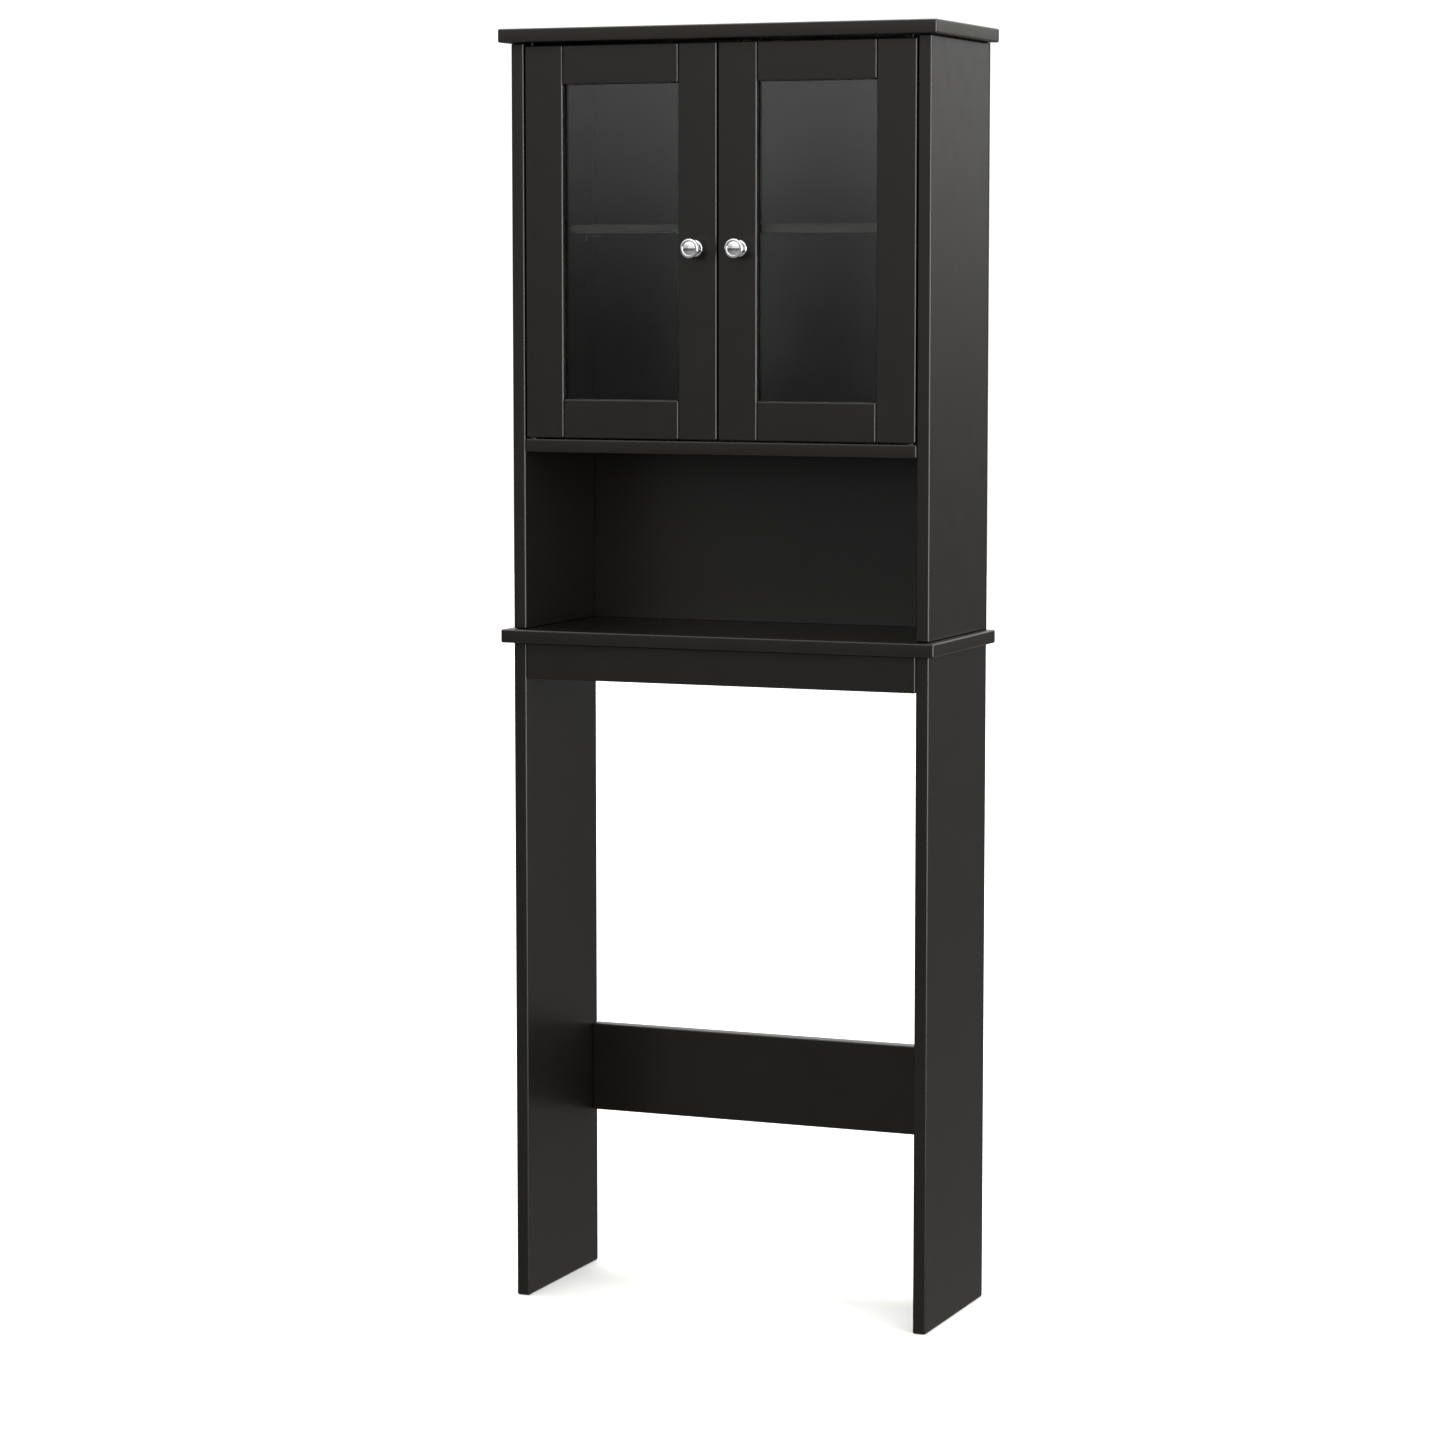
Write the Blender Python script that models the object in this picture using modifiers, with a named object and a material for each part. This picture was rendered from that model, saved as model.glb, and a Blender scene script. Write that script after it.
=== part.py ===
"""Over-the-toilet storage rack: a two-door glass-fronted cabinet and an open nook on two tall side legs.

Metres, +Z up.  x = 0 is the middle of the rack, y = 0 the middle of the top board's depth, z = 0 the floor.
The front looks along -Y.
"""
import math

import bmesh
import bpy
from mathutils import Vector

# ---- Overall sizes ------------------------------------------------------------------------------
WIDTH = 0.612  # top board, side to side
DEPTH = 0.248  # top board, front to back
HEIGHT = 1.700  # floor to the top face of the top board
BOARD = 0.018  # thickness of every structural board
SIDE_OVERHANG = 0.012  # top and middle boards past the sides
FRONT_OVERHANG = 0.016  # top and middle boards past the side fronts
REAR_OVERHANG = 0.001  # top and middle boards past the back panel
BACK_PANEL = 0.003  # thickness of the back panel
FIT = 0.0003  # gap left between pieces that touch

# ---- Levels -------------------------------------------------------------------------------------
MIDDLE_TOP = 0.908  # top face of the middle board
NOOK_HEIGHT = 0.236  # clear height of the open nook
APRON_DROP = 0.048  # height of the apron under the middle board
BRACE_TOP = 0.340  # top edge of the low rear brace
BRACE_HEIGHT = 0.122

# ---- Doors --------------------------------------------------------------------------------------
DOOR = 0.016  # thickness of a door
STILE = 0.054  # width of a door's stile
RAIL = 0.0515  # height of a door's rail
SIDE_GAP = 0.002  # door to side panel
MEETING_GAP = 0.002  # door to door
TOP_GAP = 0.004  # door to top board
GLASS = 0.004  # thickness of a pane
REAR_LIP = 0.003  # frame left behind the pane's groove
GROOVE = 0.008  # how deep the pane's groove runs into the frame

# ---- Pivots: a pin in each end of the outer stile, turning in a flanged bushing -------------------
PIVOT_FROM_EDGE = 0.008  # pin axis from the door's outer edge
PIVOT_FROM_FACE = 0.0055  # pin axis behind the door's face
PIN_RADIUS = 0.0022
PIN_IN_DOOR = 0.018
LOWER_PIN_REACH = 0.0034  # how far the lower pin stands out of the door: it lifts clear in TOP_GAP
UPPER_PIN_REACH = 0.0100  # short enough to rise in its bushing when the door is lifted off
BUSHING_WALL = 0.0014
BUSHING_DEPTH = 0.010
BUSHING_FLANGE = 0.0012  # thickness of the lower bushing's flange, which the door turns on
FLANGE_LIP = 0.0014  # flange past the bushing's barrel

# ---- Knobs --------------------------------------------------------------------------------------
KNOB_FROM_EDGE = 0.030  # knob axis from the door's meeting edge
KNOB_BELOW_MIDDLE = 0.0083  # knob axis under the door's mid height
KNOB_REACH = 0.023  # how far a knob stands out of its door
KNOB_RADIUS = 0.0129
KNOB_BASE_RADIUS = 0.0112
KNOB_NECK_RADIUS = 0.0050
KNOB_CROWN = 0.0200  # radius of curvature of the head's domed middle
KNOB_RING = 0.0026  # radius of the rounded ring that edges the head
KNOB_BASE = 0.0020  # thickness of the base's edge
SCREW_RADIUS = 0.0019
SCREW_IN_KNOB = 0.009
SCREW_HEAD_RADIUS = 0.0042
SCREW_HEAD = 0.0024

# ---- Inner shelf and its pegs ----------------------------------------------------------------------
SHELF = 0.012  # thickness of the adjustable shelf
SHELF_RISE = 0.0104  # shelf underside over the middle of the cabinet's clear height
SHELF_BEHIND_DOOR = 0.006  # shelf's front edge behind the closed doors
SHELF_END_GAP = 0.001  # shelf to side panel, each end
PEG_RADIUS = 0.0024
PEG_IN_SIDE = 0.008
PEG_DROP = 0.0034  # peg axis under the shelf's underside
PEG_PITCH = 0.060  # spacing of the peg holes up the side
PEG_FROM_DOOR = 0.029  # front hole row behind the closed doors
PEG_FROM_REAR = 0.025  # rear hole row before the side's rear edge
PAD_LENGTH = 0.022
PAD_WIDTH = 0.010
PAD = 0.0015

# ---- Cam joints: a bolt screwed in one board, drawn in by a cam in the other -----------------------
CAM_RADIUS = 0.0073
CAM_WALL = 0.001  # cam past the bolt's head
CAM_FROM_END = 0.024  # cam centre from the end of its board
SLOT_REACH = 0.0045  # a cam's crossed slots: half length, width and depth
SLOT_WIDTH = 0.0014
SLOT_DEPTH = 0.0015
BOLT_RADIUS = 0.0030
BOLT_HEAD_RADIUS = 0.0036
BOLT_NECK_RADIUS = 0.0024  # groove behind the head, where the cam grips
BOLT_THREAD_RADIUS = 0.0025
BOLT_IN_SIDE = 0.011
CAM_INSET = 0.045  # cam joints from the front and rear edges of a board

# ---- Catch and wall brackets ------------------------------------------------------------------------
CATCH = (0.046, 0.015, 0.013)  # double magnetic catch, x by y by z
STRIKE = (0.014, 0.0012, 0.024)  # steel strike plate on a door
STRIKE_FROM_EDGE = 0.012  # strike plate's middle from the door's meeting edge
BRACKET_LEG = 0.022
BRACKET_WIDTH = 0.018
BRACKET_STEEL = 0.0015
BRACKET_HOLE = 0.0022
BRACKET_FROM_SIDE = 0.060

ROUND = 16  # segments in a small round
FINE_ROUND = 24  # segments in a knob
OVERRUN = 0.001  # how far a cutter starts outside the face it cuts

# ---- Planes that follow from the sizes -------------------------------------------------------------
FRONT = -DEPTH / 2 + FRONT_OVERHANG
REAR = DEPTH / 2 - REAR_OVERHANG
SIDE_OUT = WIDTH / 2 - SIDE_OVERHANG
SIDE_IN = SIDE_OUT - BOARD
BACK_FACE = REAR - BACK_PANEL
SIDE_REAR = BACK_FACE - FIT
TOP_UNDER = HEIGHT - BOARD
MIDDLE_UNDER = MIDDLE_TOP - BOARD
FLOOR_UNDER = MIDDLE_TOP + NOOK_HEIGHT
FLOOR_TOP = FLOOR_UNDER + BOARD
DOOR_BACK = FRONT + DOOR
DOOR_BOTTOM = FLOOR_TOP + BUSHING_FLANGE + FIT
DOOR_TOP = TOP_UNDER - TOP_GAP
DOOR_OUT = SIDE_IN - SIDE_GAP
DOOR_IN = MEETING_GAP / 2
PIVOT_X = DOOR_OUT - PIVOT_FROM_EDGE
PIVOT_Y = FRONT + PIVOT_FROM_FACE
KNOB_Z = (DOOR_BOTTOM + DOOR_TOP) / 2 - KNOB_BELOW_MIDDLE
SHELF_UNDER = (FLOOR_TOP + TOP_UNDER) / 2 + SHELF_RISE
BUSHING_BORE = PIN_RADIUS + FIT
BUSHING_RADIUS = BUSHING_BORE + BUSHING_WALL

CAM_LENGTH = BOARD / 2 + BOLT_HEAD_RADIUS + FIT + CAM_WALL

SIDES = (("left", -1), ("right", 1))


# ---- Building tools -----------------------------------------------------------------------------
def clear_scene():
    for obj in list(bpy.data.objects):
        bpy.data.objects.remove(obj, do_unlink=True)


def new_collection(name):
    collection = bpy.data.collections.new(name)
    bpy.context.scene.collection.children.link(collection)
    return collection


def new_material(name, colour, roughness, metallic=0.0, alpha=1.0):
    material = bpy.data.materials.new(name)
    material.use_nodes = True
    shader = material.node_tree.nodes["Principled BSDF"]
    shader.inputs["Base Color"].default_value = (*colour, 1.0)
    shader.inputs["Roughness"].default_value = roughness
    shader.inputs["Metallic"].default_value = metallic
    shader.inputs["Alpha"].default_value = alpha
    return material


def place(obj, location, material=None, parent=None, tool=False):
    """Puts an object at a world location, in the rack's collection or, as a tool, in the cutters'."""
    origin = parent.location if parent else Vector()
    obj.location = Vector(location) - origin
    obj.parent = parent
    (CUTTERS if tool else PARTS).objects.link(obj)
    if tool:
        obj.hide_render = True
        obj.display_type = "WIRE"
    else:
        obj.data.materials.append(material)
    return obj


def box(name, low, high, **where):
    """A box between two corners."""
    low, high = Vector(low), Vector(high)
    form = bmesh.new()
    bmesh.ops.create_cube(form, size=1.0)
    bmesh.ops.scale(form, vec=high - low, verts=form.verts)
    mesh = bpy.data.meshes.new(name)
    form.to_mesh(mesh)
    form.free()
    return place(bpy.data.objects.new(name, mesh), (low + high) / 2, **where)


def mirrored_box(name, hand, low, high, **where):
    """A box given for the right-hand side, put on the side that hand says."""
    xs = sorted((hand * low[0], hand * high[0]))
    return box(name, (xs[0], low[1], low[2]), (xs[1], high[1], high[2]), **where)


def rod(name, axis, radius, start, length, **where):
    """A cylinder from a start point along a unit axis."""
    form = bmesh.new()
    bmesh.ops.create_cone(
        form, cap_ends=True, segments=ROUND, radius1=radius, radius2=radius, depth=length
    )
    mesh = bpy.data.meshes.new(name)
    form.to_mesh(mesh)
    form.free()
    axis = Vector(axis)
    obj = bpy.data.objects.new(name, mesh)
    obj.rotation_euler = axis.to_track_quat("Z", "Y").to_euler()
    return place(obj, Vector(start) + axis * length / 2, **where)


def turned(name, profile, axis, location, segments=ROUND, **where):
    """A solid of revolution: (radius, height) points from the top of the outer side downwards."""
    mesh = bpy.data.meshes.new(name)
    points = [(radius, 0.0, height) for radius, height in profile]
    mesh.from_pydata(points, [(i, i + 1) for i in range(len(points) - 1)], [])
    obj = bpy.data.objects.new(name, mesh)
    obj.rotation_euler = Vector(axis).to_track_quat("Z", "Y").to_euler()
    place(obj, location, **where)
    screw = obj.modifiers.new("Turn", "SCREW")
    screw.steps = segments
    screw.render_steps = segments
    screw.use_merge_vertices = True
    screw.merge_threshold = 0.00001
    screw.use_smooth_shade = True
    return obj


def combine(obj, tool, operation):
    modifier = obj.modifiers.new(tool.name, "BOOLEAN")
    modifier.operation = operation
    modifier.object = tool


def soften(obj, width, segments=2):
    bevel = obj.modifiers.new("Round edges", "BEVEL")
    bevel.width = width
    bevel.segments = segments


def drill(obj, axis, radius, start, length, parent=None):
    """Cuts a round hole from a point on the surface, or inside a wider hole, along an axis."""
    name = f"{obj.name}_hole_{len(obj.modifiers) + 1}"
    outside = Vector(start) - Vector(axis) * OVERRUN
    cutter = rod(name, axis, radius, outside, length + OVERRUN, parent=parent, tool=True)
    combine(obj, cutter, "DIFFERENCE")


def arc(centre, radius, start, end, steps):
    """Points on an arc, its angles in degrees from the radial direction."""
    points = []
    for step in range(steps + 1):
        angle = math.radians(start + (end - start) * step / steps)
        points.append((centre[0] + radius * math.cos(angle), centre[1] + radius * math.sin(angle)))
    return points


# ---- Boards -------------------------------------------------------------------------------------
def make_boards():
    """The carcass: full-width boards, sides, legs, floor, apron, brace and back panel."""
    half = WIDTH / 2
    boards = {}
    for name, top in (("top_board", HEIGHT), ("mid_board", MIDDLE_TOP)):
        low = (-half, -DEPTH / 2, top - BOARD)
        boards[name] = box(name, low, (half, DEPTH / 2, top), material=LACQUER)
    for side, hand in SIDES:
        boards[f"upper_side_{side}"] = mirrored_box(
            f"upper_side_{side}",
            hand,
            (SIDE_IN, FRONT, MIDDLE_TOP + FIT),
            (SIDE_OUT, SIDE_REAR, TOP_UNDER - FIT),
            material=LACQUER,
        )
        boards[f"leg_{side}"] = mirrored_box(
            f"leg_{side}", hand, (SIDE_IN, FRONT, 0), (SIDE_OUT, REAR, MIDDLE_UNDER - FIT), material=LACQUER
        )
    inner = SIDE_IN - FIT
    boards["cabinet_floor"] = box(
        "cabinet_floor", (-inner, FRONT, FLOOR_UNDER), (inner, SIDE_REAR, FLOOR_TOP), material=LACQUER
    )
    boards["apron_front"] = box(
        "apron_front",
        (-inner, FRONT, MIDDLE_UNDER - FIT - APRON_DROP),
        (inner, FRONT + BOARD, MIDDLE_UNDER - FIT),
        material=LACQUER,
    )
    boards["lower_brace"] = box(
        "lower_brace",
        (-inner, REAR - BOARD, BRACE_TOP - BRACE_HEIGHT),
        (inner, REAR, BRACE_TOP),
        material=LACQUER,
    )
    boards["back_panel"] = box(
        "back_panel",
        (-SIDE_OUT, BACK_FACE, MIDDLE_TOP + FIT),
        (SIDE_OUT, REAR, TOP_UNDER - FIT),
        material=LACQUER,
    )
    return boards


# ---- Cam joints -----------------------------------------------------------------------------------
def cut_cross_slot(cam, mouth, face):
    """Two crossed screwdriver slots in a cam's face."""
    sideways = Vector((1, 0, 0))
    upwards = face.cross(sideways)
    for number, (long_way, short_way) in enumerate(((sideways, upwards), (upwards, sideways))):
        corner = long_way * SLOT_REACH + short_way * SLOT_WIDTH / 2 + face * SLOT_DEPTH
        half = Vector([abs(value) for value in corner])
        slot = box(f"{cam.name}_slot_{number}", mouth - half, mouth + half, tool=True)
        combine(cam, slot, "DIFFERENCE")


def cam_joint(label, hand, panel, side_board, y, z, face):
    """A cam in the panel's face and the bolt that it draws in from the side board.

    (y, z) is on the panel's middle plane, and face is the direction that the cam's slotted end looks.
    """
    face = Vector(face)
    centre = Vector((hand * (SIDE_IN - FIT - CAM_FROM_END), y, z))
    mouth = centre + face * (BOARD / 2)
    outwards = Vector((hand, 0, 0))
    drill(panel, -face, CAM_RADIUS + FIT, mouth, CAM_LENGTH + FIT)
    drill(panel, outwards, BOLT_HEAD_RADIUS + FIT, centre, CAM_FROM_END + OVERRUN)
    hole_start = Vector((hand * SIDE_IN, y, z))
    drill(side_board, outwards, BOLT_THREAD_RADIUS + FIT, hole_start, BOLT_IN_SIDE + FIT)

    cam = rod(f"cam_{label}", -face, CAM_RADIUS, mouth, CAM_LENGTH, material=ZINC)
    drill(cam, outwards, BOLT_HEAD_RADIUS + FIT, centre - outwards * BOLT_RADIUS, CAM_RADIUS * 2)
    cut_cross_slot(cam, mouth, face)

    head_end = -BOLT_RADIUS
    shoulder = CAM_FROM_END + FIT
    profile = [
        (0, shoulder + BOLT_IN_SIDE - FIT),
        (BOLT_THREAD_RADIUS, shoulder + BOLT_IN_SIDE - 2 * FIT),
        (BOLT_THREAD_RADIUS, shoulder - FIT),
        (BOLT_RADIUS, shoulder - FIT),
        (BOLT_RADIUS, head_end + BOLT_HEAD_RADIUS * 2),
        (BOLT_NECK_RADIUS, head_end + BOLT_HEAD_RADIUS),
        (BOLT_HEAD_RADIUS, head_end + BOLT_HEAD_RADIUS / 2),
        (BOLT_HEAD_RADIUS / 2, head_end),
        (0, head_end),
    ]
    turned(f"cam_bolt_{label}", profile, outwards, centre, material=ZINC)


def make_cam_joints(boards):
    floor_middle = (FLOOR_UNDER + FLOOR_TOP) / 2
    apron_middle = MIDDLE_UNDER - FIT - APRON_DROP / 2
    brace_middle = BRACE_TOP - BRACE_HEIGHT / 2
    down, back = (0, 0, -1), (0, 1, 0)
    for side, hand in SIDES:
        upper, leg = boards[f"upper_side_{side}"], boards[f"leg_{side}"]
        for spot, y in (("front", FRONT + CAM_INSET), ("rear", SIDE_REAR - CAM_INSET)):
            label = f"floor_{side}_{spot}"
            cam_joint(label, hand, boards["cabinet_floor"], upper, y, floor_middle, down)
        y = FRONT + BOARD / 2
        cam_joint(f"apron_{side}", hand, boards["apron_front"], leg, y, apron_middle, back)
        y = REAR - BOARD / 2
        cam_joint(f"brace_{side}", hand, boards["lower_brace"], leg, y, brace_middle, back)


# ---- Inner shelf ----------------------------------------------------------------------------------
def make_shelf(boards):
    inner = SIDE_IN - SHELF_END_GAP
    box(
        "inner_shelf",
        (-inner, DOOR_BACK + SHELF_BEHIND_DOOR, SHELF_UNDER),
        (inner, BACK_FACE - SHELF_END_GAP, SHELF_UNDER + SHELF),
        material=LACQUER,
        parent=joint_empty("shelf_lift_axis", (0, 0, SHELF_UNDER)),
    )
    peg_z = SHELF_UNDER - PEG_DROP
    for side, hand in SIDES:
        board = boards[f"upper_side_{side}"]
        for spot, y in (("front", DOOR_BACK + PEG_FROM_DOOR), ("rear", SIDE_REAR - PEG_FROM_REAR)):
            for step in (-1, 0, 1):
                start = (hand * SIDE_IN, y, peg_z + step * PEG_PITCH)
                drill(board, (hand, 0, 0), PEG_RADIUS + FIT, start, PEG_IN_SIDE + FIT)
            make_peg(f"shelf_peg_{side}_{spot}", hand, y, peg_z)


def make_peg(name, hand, y, z):
    """A steel spade peg: a round stem in the side's hole and a flat pad under the shelf."""
    pad_top = SHELF_UNDER - FIT
    wall = SIDE_IN - FIT
    half = PAD_WIDTH / 2
    peg = mirrored_box(
        name, hand, (wall - PAD_LENGTH, y - half, pad_top - PAD), (wall, y + half, pad_top), material=STEEL
    )
    plate_low, plate_high = (wall - PAD, y - half, z - half), (wall, y + half, pad_top - PAD / 2)
    plate = mirrored_box(f"{name}_plate", hand, plate_low, plate_high, tool=True)
    stem_start = (hand * (wall - PAD / 2), y, z)
    stem = rod(f"{name}_stem", (hand, 0, 0), PEG_RADIUS, stem_start, PEG_IN_SIDE + PAD / 2, tool=True)
    combine(peg, plate, "UNION")
    combine(peg, stem, "UNION")


# ---- Doors ------------------------------------------------------------------------------------------
def joint_empty(name, location):
    empty = bpy.data.objects.new(name, None)
    empty.location = location
    empty.empty_display_size = 0.05
    PARTS.objects.link(empty)
    return empty


def make_door(side, hand, boards):
    axis = joint_empty(f"{side}_door_axis", (hand * PIVOT_X, PIVOT_Y, DOOR_BOTTOM))
    where = {"material": LACQUER, "parent": axis}
    prefix = f"{side}_door"
    outer = mirrored_box(
        f"{prefix}_stile_outer",
        hand,
        (DOOR_OUT - STILE, FRONT, DOOR_BOTTOM),
        (DOOR_OUT, DOOR_BACK, DOOR_TOP),
        **where,
    )
    inner = mirrored_box(
        f"{prefix}_stile_inner",
        hand,
        (DOOR_IN, FRONT, DOOR_BOTTOM),
        (DOOR_IN + STILE, DOOR_BACK, DOOR_TOP),
        **where,
    )
    near, far = DOOR_IN + STILE + FIT, DOOR_OUT - STILE - FIT
    rails = []
    for name, base in (("top", DOOR_TOP - RAIL), ("bottom", DOOR_BOTTOM)):
        low, high = (near, FRONT, base), (far, DOOR_BACK, base + RAIL)
        rails.append(mirrored_box(f"{prefix}_rail_{name}", hand, low, high, **where))
    make_pane(prefix, hand, axis, (outer, inner, *rails))
    make_knob(prefix, hand, axis, inner)
    make_pivots(side, hand, axis, outer, boards)
    make_strike(prefix, hand, axis)


def make_pane(prefix, hand, axis, frame_pieces):
    """The glass pane and the groove around it, cut in all four frame pieces."""
    reach = GROOVE - FIT
    near, far = DOOR_IN + STILE, DOOR_OUT - STILE
    low, high = DOOR_BOTTOM + RAIL, DOOR_TOP - RAIL
    face = DOOR_BACK - REAR_LIP - GLASS
    mirrored_box(
        f"{prefix}_glass",
        hand,
        (near - reach, face, low - reach),
        (far + reach, face + GLASS, high + reach),
        material=CLEAR,
        parent=axis,
    )
    groove = mirrored_box(
        f"{prefix}_groove",
        hand,
        (near - GROOVE, face - FIT, low - GROOVE),
        (far + GROOVE, face + GLASS + FIT, high + GROOVE),
        parent=axis,
        tool=True,
    )
    for piece in frame_pieces:
        combine(piece, groove, "DIFFERENCE")


def make_knob(prefix, hand, axis, stile):
    """A turned knob with a ringed head, and the screw that holds it through the stile."""
    x = hand * (DOOR_IN + KNOB_FROM_EDGE)
    reach, ring = KNOB_REACH, KNOB_RING
    bore = SCREW_RADIUS + FIT
    neck_top = reach - KNOB_RADIUS
    profile = [(0, reach)]
    profile += arc((0, reach - KNOB_CROWN), KNOB_CROWN, 78, 64, 2)
    profile += arc((KNOB_RADIUS - ring, reach - ring * 1.5), ring, 110, -70, 5)
    profile += [
        (KNOB_NECK_RADIUS + ring / 3, neck_top + ring),
        (KNOB_NECK_RADIUS, neck_top),
        (KNOB_NECK_RADIUS, KNOB_BASE + ring),
        (KNOB_BASE_RADIUS - ring, KNOB_BASE + ring / 3),
        (KNOB_BASE_RADIUS, KNOB_BASE),
        (KNOB_BASE_RADIUS, FIT),
        (bore, FIT),
        (bore, SCREW_IN_KNOB + 2 * FIT),
        (0, SCREW_IN_KNOB + 2 * FIT),
    ]
    turned(
        f"{prefix}_knob",
        profile,
        (0, -1, 0),
        (x, FRONT, KNOB_Z),
        segments=FINE_ROUND,
        material=CHROME,
        parent=axis,
    )
    drill(stile, (0, 1, 0), bore, (x, FRONT, KNOB_Z), DOOR + OVERRUN, parent=axis)
    under_head = DOOR + FIT
    screw = [
        (0, SCREW_IN_KNOB),
        (SCREW_RADIUS * 0.7, SCREW_IN_KNOB),
        (SCREW_RADIUS, SCREW_IN_KNOB - SCREW_RADIUS / 2),
        (SCREW_RADIUS, -under_head),
        (SCREW_HEAD_RADIUS, -under_head),
        (SCREW_HEAD_RADIUS, -under_head - SCREW_HEAD / 2),
        (SCREW_HEAD_RADIUS * 0.7, -under_head - SCREW_HEAD),
        (0, -under_head - SCREW_HEAD),
    ]
    turned(f"{prefix}_knob_screw", screw, (0, -1, 0), (x, FRONT, KNOB_Z), material=ZINC, parent=axis)


def bushing_profile(flanged):
    """Half the section of a bushing, whose mouth is flush with its board or stands out as a flange."""
    if flanged:
        lip = BUSHING_RADIUS + FLANGE_LIP
        outside = [
            (BUSHING_BORE, BUSHING_FLANGE),
            (lip - FIT, BUSHING_FLANGE),
            (lip, BUSHING_FLANGE - FIT),
            (lip, FIT / 2),
            (BUSHING_RADIUS, FIT / 2),
        ]
    else:
        outside = [(BUSHING_BORE, 0), (BUSHING_RADIUS, 0)]
    return [*outside, (BUSHING_RADIUS, -BUSHING_DEPTH), (BUSHING_BORE, -BUSHING_DEPTH), outside[0]]


def make_pivots(side, hand, axis, stile, boards):
    """The two pins in the ends of the outer stile, and their bushings in the floor and the top board."""
    x = hand * PIVOT_X
    hole = PIN_RADIUS + FIT
    tip = PIN_RADIUS / 3
    ends = (
        ("lower", DOOR_BOTTOM, 1, LOWER_PIN_REACH, boards["cabinet_floor"], FLOOR_TOP),
        ("upper", DOOR_TOP, -1, UPPER_PIN_REACH, boards["top_board"], TOP_UNDER),
    )
    for name, door_end, into_door, reach, board, face in ends:
        inwards = Vector((0, 0, into_door))
        drill(stile, inwards, hole, (x, PIVOT_Y, door_end), PIN_IN_DOOR + FIT, parent=axis)
        pin = [
            (0, PIN_IN_DOOR),
            (PIN_RADIUS - tip, PIN_IN_DOOR),
            (PIN_RADIUS, PIN_IN_DOOR - tip),
            (PIN_RADIUS, -reach + tip),
            (PIN_RADIUS - tip, -reach),
            (0, -reach),
        ]
        where = (x, PIVOT_Y, door_end)
        turned(f"{side}_door_pin_{name}", pin, inwards, where, material=BLACKED, parent=axis)

        drill(board, -inwards, BUSHING_RADIUS + FIT, (x, PIVOT_Y, face), BUSHING_DEPTH + FIT)
        bushing = bushing_profile(flanged=name == "lower")
        turned(f"{side}_bushing_{name}", bushing, inwards, (x, PIVOT_Y, face), material=NYLON)


def make_strike(prefix, hand, axis):
    """The steel plate on the back of the door, which the catch holds."""
    x = DOOR_IN + STRIKE_FROM_EDGE
    y = DOOR_BACK + FIT
    middle = TOP_UNDER - TOP_GAP - STRIKE[2] / 2
    plate = mirrored_box(
        f"{prefix}_strike",
        hand,
        (x - STRIKE[0] / 2, y, middle - STRIKE[2] / 2),
        (x + STRIKE[0] / 2, y + STRIKE[1], middle + STRIKE[2] / 2),
        material=STEEL,
        parent=axis,
    )
    soften(plate, STRIKE[1] / 4)


# ---- Catch and wall brackets ----------------------------------------------------------------------
def make_catch():
    """A double magnetic catch under the top board, close behind the strike plates."""
    y = DOOR_BACK + FIT + STRIKE[1] + FIT
    top = TOP_UNDER - FIT
    low = (-CATCH[0] / 2, y, top - CATCH[2])
    catch = box("magnetic_catch", low, (CATCH[0] / 2, y + CATCH[1], top), material=NYLON)
    soften(catch, CATCH[1] / 15)


def make_brackets():
    """Steel angles under the top board, through which the rack is screwed to the wall."""
    top = TOP_UNDER - FIT
    back = BACK_FACE - FIT
    half = BRACKET_WIDTH / 2
    for side, hand in SIDES:
        x = SIDE_IN - BRACKET_FROM_SIDE
        name = f"wall_bracket_{side}"
        leg_low = (x - half, back - BRACKET_LEG, top - BRACKET_STEEL)
        bracket = mirrored_box(name, hand, leg_low, (x + half, back, top), material=ZINC)
        upright_low = (x - half, back - BRACKET_STEEL, top - BRACKET_LEG)
        upright_high = (x + half, back, top - BRACKET_STEEL / 2)
        upright = mirrored_box(f"{name}_upright", hand, upright_low, upright_high, tool=True)
        combine(bracket, upright, "UNION")
        middle = BRACKET_LEG / 2
        length = BRACKET_STEEL * 3
        drill(bracket, (0, 0, -1), BRACKET_HOLE, (hand * x, back - middle, top + BRACKET_STEEL), length)
        drill(bracket, (0, -1, 0), BRACKET_HOLE, (hand * x, back + BRACKET_STEEL, top - middle), length)


clear_scene()
PARTS = new_collection("over_toilet_rack")
CUTTERS = new_collection("over_toilet_rack_cutters")
LACQUER = new_material("black_satin_lacquer", (0.026, 0.025, 0.024), 0.38)
CLEAR = new_material("clear_glass", (0.80, 0.85, 0.84), 0.03, alpha=0.25)
CHROME = new_material("polished_chrome", (0.80, 0.80, 0.81), 0.08, metallic=1.0)
STEEL = new_material("bright_steel", (0.56, 0.56, 0.57), 0.28, metallic=1.0)
BLACKED = new_material("blackened_steel", (0.035, 0.035, 0.037), 0.42, metallic=1.0)
ZINC = new_material("zinc_plate", (0.50, 0.51, 0.53), 0.38, metallic=1.0)
NYLON = new_material("black_nylon", (0.020, 0.020, 0.021), 0.50)

rack_boards = make_boards()
make_cam_joints(rack_boards)
make_shelf(rack_boards)
for door_side, door_hand in SIDES:
    make_door(door_side, door_hand, rack_boards)
make_catch()
make_brackets()
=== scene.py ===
"""Looks for an over-the-toilet storage rack, laid out as a Blender add-on and run as a script.

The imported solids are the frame.  Boards and door frames are redone with eased edges, and the knobs, pegs
and brackets with their fine shapes.  What repeats (nails, covers, screws) is laid out by Geometry Nodes.
"""

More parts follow.
